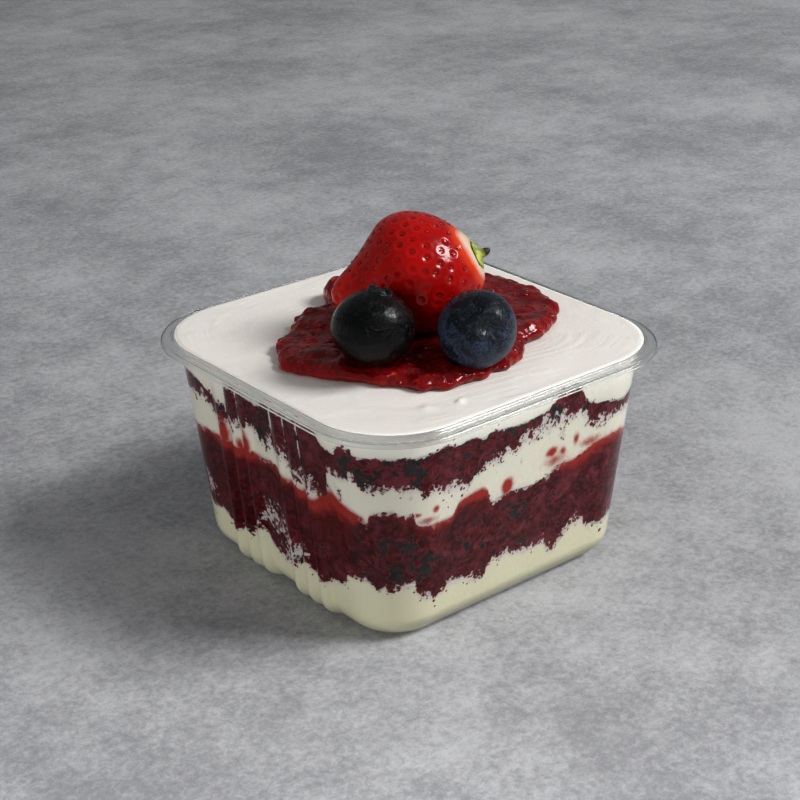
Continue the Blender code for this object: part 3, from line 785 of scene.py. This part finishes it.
def table_finish():
    """Grey cement with soft clouds, fine grain and small dark pores, with painted shade darkening it
    beyond the tub's middle.
    """
    finish = Finish("pale table", Roughness=0.7, Specular_IOR_Level=0.2)
    clouds = finish.noise(70.0, detail=4.0, roughness=0.55) * 0.34
    grain = finish.noise(1.9, detail=5.0, roughness=0.8)
    mottle = finish.noise(10.0, detail=4.0, roughness=0.6) * 0.22 + grain * 0.44
    colour = (clouds + mottle).span(0.38, 0.62).between(TABLE_DARK, TABLE_PALE)
    pores = finish.noise(1.6, detail=4.0, roughness=0.7).span(0.62, 0.72, 0.0, 0.4)
    colour = pores.between(colour, TABLE_PORE)
    # painted shade: lighter in front of the tub and darker away from the viewer
    painted_falloff = finish.along(TABLE_BACK).span(-0.10, 0.0, 0.0, 0.23)
    finish.colour(painted_falloff.between(colour, TABLE_SHADE))
    finish.bump(grain, 0.3)
    return finish.material


# ---- Plan outline of the tub ----

def plan_radius(half):
    """Radius of the rounded corners of the outline at a half width."""
    below = (half - BASE_HALF) / (WALL_TOP_HALF - BASE_HALF)
    above = (half - WALL_TOP_HALF) / (LIP_HALF - WALL_TOP_HALF)
    return np.where(half <= WALL_TOP_HALF,
                    BASE_RADIUS + (WALL_TOP_RADIUS - BASE_RADIUS) * below,
                    WALL_TOP_RADIUS + (LIP_RADIUS - WALL_TOP_RADIUS) * above)


def rib_depth(z):
    """How far the ribs stand out: most by the base, and nothing at the mouth."""
    depth = RIB_DEPTH_LOW + (RIB_DEPTH_HIGH - RIB_DEPTH_LOW) * z / WALL_TOP
    run_out = np.clip((MOUTH - z) / (MOUTH - WALL_TOP), 0.0, 1.0)
    return depth * run_out * ease(0.75 + z / BASE_FILLET)


def rib_wave(mark):
    """From 0 between the ribs to 1 on their crests, by the distance from the side's middle."""
    nearest = np.min(np.abs(np.abs(mark)[..., None] - RIB_CENTRES), axis=-1)
    return (0.5 + 0.5 * np.cos(ROUND * np.minimum(nearest, RIB_PITCH / 2) / RIB_PITCH)) ** 0.65


def wall_points(half, z, columns=TURN):
    """Points of the outline for half widths and heights; arrays end in one value a column."""
    half, z = np.broadcast_arrays(np.asarray(half, float), np.asarray(z, float))
    half, z, columns = np.broadcast_arrays(half, z, columns)
    side, part = np.floor(columns), columns - np.floor(columns)
    radius = plan_radius(half)
    mark = (2 * part / STRAIGHT - 1) * (half - radius)
    angle = (part - STRAIGHT) / (1 - STRAIGHT) * QUARTER
    ribs = rib_depth(z) * rib_wave(mark) * (side % 2 == 0)
    x = np.where(part < STRAIGHT, half + ribs, half - radius + radius * np.cos(angle))
    y = np.where(part < STRAIGHT, mark, half - radius + radius * np.sin(angle))
    cosine, sine = np.cos(side * QUARTER), np.sin(side * QUARTER)
    return np.stack([x * cosine - y * sine, x * sine + y * cosine, z], axis=-1)


def wall_line(z):
    """Half width of the tub's outer face without its bottom fillet."""
    return BASE_HALF + (WALL_TOP_HALF - BASE_HALF) * z / WALL_TOP


def fillet(z, rise):
    """How far the rounded bottom edge, which starts at a height, draws in the outline."""
    short = np.clip(BASE_FILLET - (z - rise), 0.0, BASE_FILLET)
    return BASE_FILLET - np.sqrt(BASE_FILLET ** 2 - short ** 2)


def rim_sheet(count):
    """Outer and inner edges of the rim's section, each a list of half width and height."""
    line = smooth_line(RIM_LINE, count)
    ahead = np.gradient(line, axis=0)
    ahead /= np.linalg.norm(ahead, axis=1)[:, None]
    aside = np.stack([-ahead[:, 1], ahead[:, 0]], axis=1)
    half_thick = np.interp(line[:, 1], [46.0, 48.0], [WALL / 2, RIM_SHEET / 2])[:, None]
    return line - aside * half_thick, line + aside * half_thick


def make_tub(finish):
    """The outer skin from under the foot up to the lip, and the inner one back to the floor."""
    low_rows = BASE_FILLET * (1 - np.cos(np.linspace(0, QUARTER, 9)))
    wall_rows = np.linspace(BASE_FILLET, WALL_TOP, 12)[1:-1]
    outer_edge, inner_edge = rim_sheet(30)
    outer = [(wall_line(z) - fillet(z, 0.0), z) for z in np.concatenate([low_rows, wall_rows])]
    inner = [(wall_line(z + FLOOR) - WALL - fillet(z, 0.0), z + FLOOR) for z in low_rows]
    inner += [(wall_line(z) - WALL, z) for z in wall_rows[1:]]
    lip = (outer_edge[-1] + inner_edge[-1]) / 2 + np.array([0.02, -0.12])
    section = np.vstack([outer, outer_edge, [lip], inner_edge[::-1], inner[::-1]])
    skin = wall_points(section[:, :1], section[:, 1:])
    foot = np.zeros((1, COLUMNS, 3))
    middle = skin[-1:] * 0
    middle[..., 2] = FLOOR
    points = np.concatenate([foot, skin, middle])
    dress(rolled("tub_shell", points), finish, "tub", slot="clear_plastic")


# ---- Edges of the layers ----

WALL_FOOT = wall_points(WALL_TOP_HALF, 0.0)
# Inner face of the mouth over the wall's top: height and half width
MOUTH_LINE = np.array([(WALL_TOP, WALL_TOP_HALF - WALL), (47.1, 39.08), (48.4, 39.60),
                       (49.3, 39.93), (49.9, 40.22)])


def food_half(z):
    """Half width of the filling, which reaches a bite into the plastic."""
    inner = wall_line(np.minimum(z, WALL_TOP)) - WALL - fillet(z, FLOOR - BITE)
    mouth = np.interp(z, MOUTH_LINE[:, 0], MOUTH_LINE[:, 1])
    return np.where(z > WALL_TOP, mouth, inner) + BITE


def along_wall(knots):
    """One value a column from (turn, value) knots that go once round."""
    knots = np.array(knots)
    closed = np.vstack([knots[-2:] - (4, 0), knots, knots[:2] + (4, 0)])
    line = smooth_line(closed, 1600)
    return np.interp((TURN - closed[2, 0]) % 4 + closed[2, 0], line[:, 0], line[:, 1])


def ragged(knots, octaves, seed):
    """A boundary's height, one value a column, with small seeded unevenness."""
    return along_wall(knots) + rough(WALL_FOOT, octaves, seed)


LOWER_FOOT = ragged(LOWER_SPONGE_FOOT, SPONGE_RAGGED, 11)
JAM_CREST = ragged(JAM_TOP, JAM_RAGGED, 23)
JAM_DEPTH = along_wall(JAM_THICKNESS)
JAM_FOOT = JAM_CREST - np.maximum(JAM_DEPTH, 0.4)
JAM_POWER = along_wall(JAM_STRENGTH)
JAM_BLEED = 0.4 + 0.2 * JAM_DEPTH
JAM_SOAK = 1.0 + 1.1 * JAM_DEPTH
UPPER_FOOT = np.maximum(ragged(UPPER_SPONGE_FOOT, SPONGE_RAGGED, 47), JAM_CREST + 0.3)
UPPER_CREST = np.minimum(ragged(UPPER_SPONGE_TOP, SPONGE_TOP_RAGGED, 59), WALL_TOP + 0.9)
LOWER_REACH = along_wall(LOWER_SCATTER)
UPPER_REACH = along_wall(UPPER_SCATTER)


# ---- What the layers' finish reads at each point of the wall ----

def spots(places, z):
    """Soft marks on the wall at every point, from 0 to their strength."""
    total = np.zeros(z.shape)
    for where, level, wide, tall, strength in places:
        turn = (TURN - where + 2) % 4 - 2
        spot = strength * np.exp(-(turn / wide) ** 2 - ((z - level) / tall) ** 2)
        total = np.maximum(total, spot)
    return total


def groove_streaks(z):
    """How strongly cream and painted glints show in the grooves at every point, from 0 to about 1."""
    total = np.zeros(z.shape)
    unevenness = ripple(WALL_FOOT + z[..., None] * (0, 0, 1), 1.6, 61)
    for where, foot, wide in GROOVE_CREAM_AND_GLINTS:
        fade = ease((z - foot) / 5.0) * (0.80 + 0.35 * unevenness)
        total = np.maximum(total, fade * np.exp(-((TURN - where) / wide) ** 2))
    return total


def edge_share(away, reach, seed):
    """Distance from a boundary as a share of how far crumbs stray there, which varies."""
    return away / (reach * (1 + 0.75 * ripple(WALL_FOOT, 6.0, seed)))


def layer_marks(z, sponge):
    """The marks of a layer at every point.

    sponge goes from -1 in the cream to 1 in the cake. jam, veil and charcoal are the strengths of
    those spots, and bright is 1 on the lit side, where it paints the cake's wisps paler as painted light.
    soak, 0 here, grows with the depth in the jam.
    """
    sponge = np.clip(sponge, -1, 1)
    sponge = np.where(sponge < 0, np.maximum(sponge, -1 + 1.3 * spots(LOOSE_CRUMBS, z)), sponge)
    # the groove streaks turn cake to cream colour: part cream, part painted glints
    sponge = np.where(sponge > 0, np.minimum(sponge, 1 - 2.2 * groove_streaks(z)), sponge)
    # painted light: 1 on the lit -Y side and 0 on the far side, to strengthen the cake's pale wisps there
    bright = 0.5 + 0.5 * np.cos((TURN - 3.55) * QUARTER)
    return dict(sponge=sponge, jam=spots(JAM_SMEARS, z), veil=spots(VEILS, z),
                charcoal=spots(CHARCOAL, z), bright=bright + z * 0, soak=z * 0)


def in_base(z):
    return layer_marks(z, -edge_share(LOWER_FOOT - z, LOWER_REACH, 67))


def in_lower(z):
    marks = layer_marks(z, edge_share(z - LOWER_FOOT, LOWER_REACH, 67))
    under_jam = JAM_FOOT - z
    marks["charcoal"] = marks["charcoal"] - 0.5 * np.exp(-under_jam / 2.5)
    bleed = 0.75 * JAM_POWER * np.exp(-under_jam / (3.5 * JAM_BLEED))
    marks["jam"] = np.maximum(marks["jam"], bleed)
    marks["soak"] = np.clip((JAM_CREST - z) / JAM_SOAK, 0, 1)
    return marks


def in_jam(z):
    marks = layer_marks(z, edge_share(JAM_CREST - z, JAM_SCATTER, 83))
    share = (z - JAM_FOOT) / (JAM_CREST - JAM_FOOT)
    marks["jam"] = np.maximum(marks["jam"], JAM_POWER * (0.75 + 0.25 * ease(share)))
    marks["charcoal"] = marks["charcoal"] - 0.5
    marks["soak"] = (JAM_CREST - z) / JAM_SOAK
    return marks


def in_middle(z):
    above, below = UPPER_FOOT - z, z - JAM_CREST
    away = np.minimum(edge_share(above, UPPER_REACH, 73), edge_share(below, JAM_SCATTER, 83))
    marks = layer_marks(z, -away)
    marks["jam"] = np.maximum(marks["jam"], JAM_POWER * np.exp(-below / (1.1 * JAM_BLEED)))
    return marks


def in_upper(z):
    above, below = UPPER_CREST - z, z - UPPER_FOOT
    away = np.minimum(edge_share(below, UPPER_REACH, 73), edge_share(above, TOP_SCATTER, 79))
    marks = layer_marks(z, away)
    # more dark patches, with their painted air-gap grey, just under the cake's top
    marks["charcoal"] = marks["charcoal"] + 0.1 + 0.7 * np.exp(-above / 0.4)
    return marks


def in_top(z):
    return layer_marks(z, -edge_share(z - UPPER_CREST, TOP_SCATTER, 79))


# ---- Filling ----

INWARD_ROWS = ((0.0, 0.0), (0.5, 0.1), (0.8, 0.35), (0.96, 0.85))


def inward(edge):
    """Rows from the middle of a slab out to just inside its edge."""
    middle = np.mean(edge[:, 2])
    rows = []
    for share, swing in INWARD_ROWS:
        row = edge * share
        row[:, 2] = middle + (edge[:, 2] - middle) * swing
        rows.append(row)
    return np.array(rows)


def slab(name, low, high, step, marks):
    """A layer between two ragged edges; marks(z) gives its attributes."""
    rows = max(3, int(np.max(high - low) / step))
    z = low + (high - low) * np.linspace(0, 1, rows)[:, None]
    face = wall_points(food_half(z), z)
    points = np.concatenate([inward(face[0]), face, inward(face[-1])[::-1]])
    bare = np.zeros((len(INWARD_ROWS), COLUMNS))
    filled = {mark: np.concatenate([bare, values, bare]) for mark, values in marks(z).items()}
    return rolled(name, points, **filled)


def make_filling():
    """The layers from the bottom up; each runs through the whole tub."""
    floor = np.full(COLUMNS, FLOOR - BITE)
    finishes = {"cream": layer_finish("cream"), "red_sponge": layer_finish("red sponge"),
                "red_jam": layer_finish("red jam")}
    layers = (("bottom_cream", "cream_base", "cream", floor, LOWER_FOOT, 0.45, in_base),
              ("lower_sponge", "sponge_lower", "red_sponge", LOWER_FOOT, JAM_FOOT, 0.45, in_lower),
              ("jam_band", "jam_layer", "red_jam", JAM_FOOT, JAM_CREST, 0.3, in_jam),
              ("middle_cream", "cream_middle", "cream", JAM_CREST, UPPER_FOOT, 0.4, in_middle),
              ("upper_sponge", "sponge_upper", "red_sponge", UPPER_FOOT, UPPER_CREST, 0.4, in_upper))
    for name, node, slot, low, high, step, marks in layers:
        dress(slab(name, low, high, step, marks), finishes[slot], node, slot=slot)
    make_top_cream(layer_finish("top cream", specular=0.35))


def cream_relief(x, y):
    """Waves and spatula strokes of the cream's free surface, in millimetres."""
    flat = np.stack([x, y, np.zeros_like(x)], axis=-1)
    height = rough(flat, [(22.0, 0.16), (9.0, 0.08), (3.0, 0.03)], 91)
    for middle_x, middle_y, length, width, heading, depth in STROKES:
        cosine, sine = math.cos(math.radians(heading)), math.sin(math.radians(heading))
        ahead = (x - middle_x) * cosine + (y - middle_y) * sine
        aside = -(x - middle_x) * sine + (y - middle_y) * cosine
        aside = aside - 0.02 * ahead ** 2
        ridge = np.tanh(aside / width) * np.exp(-(aside / (3 * width)) ** 2)
        height = height + depth * np.exp(-(ahead / length) ** 4) * ridge
    return height


def cream_surface():
    """Rows of the cream's free surface from the wall inwards, and how far in each one lies."""
    insets = np.concatenate([[0.0, 0.12, 0.3, 0.55], 0.9 + 39.1 * np.linspace(0, 1, 58) ** 1.25])
    rim = wall_points(food_half(np.array(CREAM_LEVEL)), CREAM_LEVEL)
    rows = []
    for inset in insets:
        row = rim * (1 - inset / 40.0)
        sag = -0.3 * (1 - ease(inset / 0.7)) if inset < 0.7 else 0.0
        x, y = row[:, 0], row[:, 1]
        row[:, 2] = CREAM_LEVEL + 0.02 + sag + ease(inset / 3.0) * cream_relief(x, y)
        for peak_x, peak_y, height, radius in CREAM_PEAKS:
            away = (x - peak_x) ** 2 + (y - peak_y) ** 2
            row[:, 2] += height * np.exp(-away / radius ** 2)
        rows.append(row)
    return np.array(rows), insets


def make_top_cream(finish):
    z = UPPER_CREST + (CREAM_LEVEL - 0.35 - UPPER_CREST) * np.linspace(0, 1, 24)[:, None]
    face = wall_points(food_half(z), z)
    top, insets = cream_surface()
    points = np.concatenate([inward(face[0]), face, top])
    foot = np.zeros((len(INWARD_ROWS), COLUMNS))
    marks = in_top(z)
    for mark, values in marks.items():
        bare = np.full(top.shape[:2], -1.0 if mark == "sponge" else 0.0)
        marks[mark] = np.concatenate([foot, values, bare])
    below = np.zeros((len(points) - len(top), COLUMNS))
    across = np.broadcast_to(insets[:, None] * MM, top.shape[:2])
    marks["inset"] = np.concatenate([below, across])
    dress(rolled("top_cream", points, **marks), finish, "cream_top", slot="cream")


def crumb_place(draw, column, z, size):
    """A crumb's matrix, half sunk in the wall's inner face at a column and height."""
    spot = wall_points(food_half(np.array(z)) + 0.04, z, np.array([TURN[column]]))[0]
    heading = Matrix.Rotation(math.atan2(spot[1], spot[0]), 4, "Z")
    spot[:2] *= 1 - 0.45 * size / np.hypot(*spot[:2])
    turn = heading @ Matrix.Rotation(draw.uniform(0, 6.3), 4, "X")
    wide, tall = draw.uniform(0.5, 0.9), draw.uniform(0.35, 0.7)
    shape = Matrix.Diagonal((size * 0.5, size * wide, size * tall, 1))
    return Matrix.Translation(Vector(spot) * MM) @ turn @ shape


def make_crumbs(finish):
    """Loose crumbs pressed against the wall in the cream beside the sponge."""
    draw = np.random.default_rng(5)
    placements = []
    # each edge with the side its crumbs stray to, how many are tried and how far they go
    strays = ((LOWER_FOOT, -1, 230, 1.7), (UPPER_FOOT, -1, 300, 2.2), (UPPER_CREST, 1, 90, 0.9))
    for line, side, count, reach in strays:
        for _ in range(count):
            column = int(draw.integers(COLUMNS))
            away = 0.15 + draw.exponential(reach * 0.5)
            size = 0.42 * draw.lognormal(0, 0.45) * (1.1 - 0.12 * away)
            size = float(np.clip(size, 0.16, 0.95))
            z = float(line[column] + side * away)
            in_the_jam = line is UPPER_FOOT and z < JAM_CREST[column] + 0.6
            if FLOOR + 2 < z < WALL_TOP + 1.0 and not in_the_jam:
                placements.append(crumb_place(draw, column, z, size))
    piece = scattered("sponge_crumbs", placements)
    crumple(piece, 0.12, 0.5, 101)
    dress(piece, finish, slot="red_sponge")


# ---- Compote ----

def pulp(x, y):
    """Rounded lumps of fruit in the gel, the tallest one at each point."""
    draw = np.random.default_rng(29)
    total = np.zeros(x.shape)
    for _ in range(PULP_LUMPS):
        turn, away = draw.uniform(0, ROUND), 35.0 * math.sqrt(draw.uniform())
        width, slimness, heading = draw.uniform(1.4, 3.2), draw.uniform(0.6, 1.0), draw.uniform(0, math.pi)
        east, north = x - away * math.cos(turn), y - away * math.sin(turn)
        ahead = east * math.cos(heading) + north * math.sin(heading)
        aside = north * math.cos(heading) - east * math.sin(heading)
        share = np.clip(1 - (ahead / width) ** 2 - (aside / (width * slimness)) ** 2, 0, 1)
        lump = width * slimness * draw.uniform(0.16, 0.34) * share ** 0.9
        total = np.where(lump > total, lump + 0.25 * total, total + 0.25 * lump)
    return total


def compote_body(x, y, inset):
    """Thickness of the compote at points that lie a distance in from its edge."""
    flat = np.stack([x, y, x * 0], axis=-1)
    body = COMPOTE_THICKNESS * (0.58 + 0.42 * ease(inset / 2.5))
    for heap_x, heap_y, height, reach in COMPOTE_HEAPS:
        body = body + height * ease(1 - np.hypot(x - heap_x, y - heap_y) / reach)
    bent = rough(flat, [(3.0, 0.9)], 131)
    fine = rough(flat, [(9.0, 0.5), (3.5, 0.18), (1.3, 0.10), (0.7, 0.03)], 127)
    body = body + fine + pulp(x + bent, y - bent)
    for centre, width, _, _ in (LEFT_BLUEBERRY, RIGHT_BLUEBERRY):
        gap = np.hypot(x - centre[0], y - centre[1]) - width * 0.40
        body = body + 0.6 * np.exp(-(gap / 1.6) ** 2)
    return np.maximum(body, 0.8)


def make_compote(finish):
    """Rows from the underside's edge, round the bulging side, to the middle."""
    columns, rows = 600, 94
    turns = round_turns(columns)
    direction = ring(1.0, turns)
    radius = around(COMPOTE_OUTLINE, turns)
    radius = radius + rough(direction * radius[:, None], [(6.5, 0.8), (3.0, 0.9), (1.5, 0.5)], 113)
    edge = np.linspace(0, QUARTER, 12)
    shares = np.concatenate([1.0 - 0.045 * (1 - np.sin(edge)), np.linspace(0.992, 0.0, rows)])
    lift = np.concatenate([0.5 - 0.5 * np.cos(edge), np.ones(rows)])
    reach = radius[None, :] * shares[:, None]
    x, y = reach * direction[None, :, 0], reach * direction[None, :, 1]
    inset = radius[None, :] - reach
    z = CREAM_LEVEL + 0.05 + compote_body(x, y, inset) * lift[:, None]
    foot = np.array([direction * 0, direction * radius[:, None] * 0.9])
    foot[..., 2] = CREAM_LEVEL - 0.1
    points = np.concatenate([foot, np.stack([x, y, z], axis=-1)])
    thin = np.concatenate([np.zeros((len(foot), columns)), np.exp(-inset / 1.6)])
    dress(rolled("berry_compote", points, thin=thin), finish, "compote", slot="berry_compote")


# ---- Blueberries ----

def crown_flaps(turn, wander, tall_flap):
    """Heights of the crown's flaps round the berry, as shares of the crown's section."""
    flaps = np.clip(np.abs(np.cos(2.5 * (turn + 0.25 * wander))) * 1.1 + 0.4 * wander, 0.05, 1.2)
    from_tall = (turn - tall_flap[0] + math.pi) % ROUND - math.pi
    return flaps + tall_flap[1] * np.exp(-(from_tall / 0.42) ** 2)


def make_blueberry(name, berry, node, finish, crown_line, tall_flap, seed):
    """An oblate berry with its crown; tall_flap is (turn, height) of a flap that stands out."""
    centre, width, height, axis = berry
    brim = height / 2 * 0.93
    rise = np.radians(np.concatenate([np.linspace(-90, -80, 4), np.linspace(-76, 62, 76)]))
    skin = np.stack([width / 2 * np.cos(rise), height / 2 * np.sin(rise)], axis=1)
    crown = [tuple(skin[-1])] + [(radius, brim + over) for radius, over in crown_line]
    profile = np.concatenate([skin, smooth_line(crown, 50)[1:]])
    turn = round_turns(210)
    radius, level = profile[:, :1], profile[:, 1:]
    wander = ripple(ring(3, turn), 1.2, seed)
    over = np.clip(level - brim, 0, None)
    level = level - over + over * (0.25 + crown_flaps(turn, wander, tall_flap))
    flat = np.stack([radius * np.cos(turn), radius * np.sin(turn), level + turn * 0], axis=-1)
    dent = rough(flat, [(9.0, 0.22), (4.0, 0.10), (1.5, 0.03)], seed + 3)
    pleat = np.cos(7 * turn + 5 * wander) * np.exp(-((radius - 2.3) / 1.4) ** 2) * (level > 0)
    dent = dent + 0.06 * pleat * ease(radius / 0.8)
    outward = flat / np.maximum(np.linalg.norm(flat, axis=-1, keepdims=True), 1e-6)
    points = flat + outward * dent[..., None] * (radius > 0.01)[..., None]
    past_skin = np.arange(len(profile)) - len(skin)
    in_crown = np.clip((past_skin - 8) / 10, 0, 1)[:, None] * np.ones(len(turn))
    placement = Matrix.Translation(centre) @ Vector(axis).to_track_quat("Z", "Y").to_matrix().to_4x4()
    piece = rolled(name, turned(points, placement), crown=in_crown)
    dress(piece, finish, node, slot="blueberry_skin")


# ---- Strawberry ----

SKIN_LINE = smooth_line(STRAWBERRY_PROFILE, 300)
SKIN_STEPS = np.arange(len(SKIN_LINE))
SHOULDER_STEP = 280            # past this step the outline turns back into the hollow


def strawberry_place():
    """From the berry's own frame, +Z from its tip, to where it lies."""
    heading = Matrix.Rotation(math.radians(STRAWBERRY_TIP_HEADING + 180), 4, "Z")
    tilt = Matrix.Rotation(QUARTER - math.radians(STRAWBERRY_TIP_DIP), 4, "Y")
    back = Matrix.Translation((0, 0, -STRAWBERRY_WIDEST))
    return Matrix.Translation(STRAWBERRY_CENTRE) @ heading @ tilt @ back


def strawberry_skin(radius, along, turn):
    """A point of the skin in its own frame; +X is down onto the compote."""
    down, across = radius * np.cos(turn), radius * np.sin(turn) * STRAWBERRY_FLATNESS
    along = along + STRAWBERRY_SKEW * down * ease(along / STRAWBERRY_END)
    down = np.where(down > 0, down * STRAWBERRY_SEAT, down)
    return np.stack([down, across, along + turn * 0], axis=-1)


def on_outline(step):
    """Distance from the tip and radius at a step of the outline, which may lie between two."""
    return tuple(np.interp(step, SKIN_STEPS, SKIN_LINE[:, axis]) for axis in (0, 1))


def seed_places():
    """Seeds spread by the golden angle: centre, distance from the tip, outline step and size."""
    along, radius = SKIN_LINE[:, 0], SKIN_LINE[:, 1]
    run = np.concatenate([[0], np.cumsum(np.hypot(np.diff(radius), np.diff(along)))])
    belt = np.diff(run) * 2 * math.pi * (radius[1:] + radius[:-1]) / 2
    area = np.concatenate([[0], np.cumsum(belt)])
    each = SEED_SPACING ** 2 * 0.9
    last = np.interp(LAST_SEED, along[:SHOULDER_STEP], area[:SHOULDER_STEP])
    draw = np.random.default_rng(12)
    seeds = []
    for index in range(int(last / each)):
        step = np.interp((index + 0.5) * each, area, SKIN_STEPS)
        turn = index * GOLDEN_ANGLE + draw.normal(0, 0.05)
        step = step + draw.normal(0, 1.2)
        seed_along, seed_radius = on_outline(step)
        centre = strawberry_skin(np.array(seed_radius), np.array(seed_along), np.array(turn))
        seeds.append((centre, seed_along, step, draw.uniform(0.45, 1.15)))
    return seeds


def make_flesh(finish, seeds):
    """The berry's skin, with a pit and its raised brim round each seed."""
    profile = smooth_line(STRAWBERRY_PROFILE, 176)
    radius, along = profile[:, 1:], profile[:, :1]
    skin = strawberry_skin(radius, along, round_turns(290))
    outward = skin.copy()
    outward[..., 2] -= np.clip(skin[..., 2], 6.0, 25.0)
    outward /= np.maximum(np.linalg.norm(outward, axis=-1, keepdims=True), 1e-6)
    pit, brim = np.zeros(skin.shape[:2]), np.zeros(skin.shape[:2])
    for centre, seed_along, _, size in seeds:
        close = np.abs(along[:, 0] - seed_along) < 3.0
        away = np.linalg.norm(skin[close] - centre, axis=-1)
        hollow = size * np.exp(-(away / PIT_RADIUS) ** 3)
        ridge = size * np.exp(-((away - 1.5 * PIT_RADIUS) / 0.28) ** 2)
        pit[close] = np.maximum(pit[close], hollow)
        brim[close] = np.maximum(brim[close], ridge)
    lump = rough(skin, [(11.0, 0.35), (5.0, 0.12)], 151) * ease(radius / 3.0)
    relief = (lump - PIT_DEPTH * pit + 0.06 * brim) * ease(radius / 1.0)
    skin = skin + outward * relief[..., None]
    share = skin[..., 2] / STRAWBERRY_LENGTH - 0.085 * skin[..., 0] / 13.0
    points = turned(skin, strawberry_place())
    piece = rolled("strawberry_flesh", points, along=share, pit=pit, brim=brim)
    dress(piece, finish, "strawberry", slot="strawberry_skin")


def seed_matrix(centre, step, size):
    """Where a seed lies along the skin, sunk in its pit, in metres."""
    out = Vector((centre[0], centre[1], 0)).normalized()
    along, radius = on_outline([step - 3, step + 3])
    widening = radius[1] - radius[0]
    run = Vector((widening * out.x, widening * out.y, along[1] - along[0])).normalized()
    side = run.cross(out).normalized()
    up = side.cross(run)
    if up.dot(out) <= 0:
        up = -up
    spot = Vector(centre) - up * (PIT_DEPTH * size - 0.03)
    axes = Matrix((side, run, up)).transposed().to_4x4()
    shape = Matrix.Diagonal((0.17, 0.34, 0.12, 1))
    whole = strawberry_place() @ Matrix.Translation(spot) @ axes @ shape
    whole.translation = whole.translation * MM
    return whole


def make_strawberry(finish, seeds_finish):
    seeds = seed_places()
    make_flesh(finish, seeds)
    placements = [seed_matrix(centre, step, size) for centre, _, step, size in seeds]
    dress(scattered("strawberry_seeds", placements), seeds_finish, slot="strawberry_skin")


def make_calyx(finish):
    """Short leaf ends close on the shoulder round a cut stalk with a dry, pointed tip."""
    turn = round_turns(120)
    wander = ripple(ring(2, turn), 1.0, 163)
    leaf = 0.5 + 0.5 * np.cos(5 * turn + 0.8 * wander)
    section = smooth_line(CALYX_SECTION, 60)
    radius, level = section[:, :1], section[:, 1:]
    spread = 1 + (0.30 * leaf - 0.22 + 0.12 * wander) * ease((radius - 1.2) / 1.2)
    lift = 0.06 * leaf * ease((radius - 2.0) / 1.2) * (level < 2)
    down, across = radius * spread * np.cos(turn), radius * spread * np.sin(turn)
    down = np.where(down > 0, down * 0.85, down)
    bend = 0.10 * np.clip(level - 1.7, 0, None) ** 2
    height = level + STRAWBERRY_END + lift + STRAWBERRY_SKEW * down
    points = np.stack([down - bend, across, height], axis=-1)
    points = points + 0.07 * ripple(points, 0.8, 167)[..., None] * ease(radius / 0.4)[..., None]
    dry = ease((level - 2.2) / 0.6) * np.ones(len(turn))
    piece = rolled("strawberry_calyx", turned(points, strawberry_place()), dry=dry)
    dress(piece, finish, "calyx", slot="strawberry_leaf")


# ---- Stage ----

def make_stage():
    """A wide table for the tub to stand on."""
    bpy.ops.object.select_all(action="DESELECT")
    bpy.ops.mesh.primitive_plane_add(size=6.0)
    table = bpy.context.object
    table.name = "table"
    table.data.materials.append(table_finish())


def add_light(name, place, size, power):
    """A soft lamp that looks at the middle of the tub."""
    bpy.ops.object.light_add(type="AREA", location=place)
    light = bpy.context.object
    light.name = name
    light.data.shape = "RECTANGLE"
    light.data.size, light.data.size_y = size
    light.data.energy = power
    toward = Vector((0, 0, 0.03)) - Vector(place)
    light.rotation_euler = toward.to_track_quat("-Z", "Y").to_euler()
    return light


def make_room_light():
    """Even, dim light from all round."""
    room = bpy.data.worlds.new("room")
    bpy.context.scene.world = room
    room.use_nodes = True
    background = room.node_tree.nodes["Background"]
    background.inputs["Color"].default_value = (0.97, 0.985, 1.0, 1)
    background.inputs["Strength"].default_value = ROOM_LIGHT


def make_lights():
    """A window to the right, and a matt white board on the left that lifts the shaded wall."""
    add_light("window", (0.65, -0.65, 0.92), (0.46, 0.40), 13.2)
    board = add_light("board", (-1.15, -0.30, 0.38), (1.2, 0.6), 4.6)
    board.visible_glossy = False
    make_room_light()


def make_camera():
    """A long lens that looks down at the corner between the -X and -Y sides."""
    data = bpy.data.cameras.new("camera")
    camera = bpy.data.objects.new("camera", data)
    bpy.context.scene.collection.objects.link(camera)
    data.lens = LENS
    data.sensor_width = 36
    data.clip_start = 0.01
    azimuth, elevation = math.radians(VIEW_AZIMUTH), math.radians(VIEW_ELEVATION)
    level = math.cos(elevation)
    back = Vector((math.sin(azimuth) * level, -math.cos(azimuth) * level, math.sin(elevation)))
    right = Vector((math.cos(azimuth), math.sin(azimuth), 0))
    up = back.cross(right)
    roll = Matrix.Rotation(math.radians(VIEW_ROLL), 3, "Z")
    turn = Matrix((right, up, back)).transposed() @ roll
    camera.matrix_world = Matrix.Translation(EYE) @ turn.to_4x4()
    bpy.context.scene.camera = camera


def main():
    """The whole scene, from the stage to the calyx."""
    make_camera()
    make_lights()
    make_stage()
    make_tub(clear_plastic())
    make_filling()
    make_crumbs(crumb_finish())
    make_compote(compote_finish())
    dark = blueberry_finish("dark blueberry skin", LEFT_BLUEBERRY, 0.02, 0.03, 0.085)
    make_blueberry("blueberry_dark", LEFT_BLUEBERRY, "blueberry_left", dark, OPEN_CROWN,
                   (0.6, 1.3), 171)
    bloomed = blueberry_finish("bloomed blueberry skin", RIGHT_BLUEBERRY, 1.15, 0.09, 0.17)
    make_blueberry("blueberry_bloomed", RIGHT_BLUEBERRY, "blueberry_right", bloomed, SHUT_CROWN,
                   (0.0, 0.0), 181)
    make_strawberry(strawberry_finish(), seed_finish())
    make_calyx(leaf_finish())
    bpy.context.scene.view_settings.view_transform = "Standard"
    bpy.context.scene.view_settings.look = "Medium High Contrast"


main()
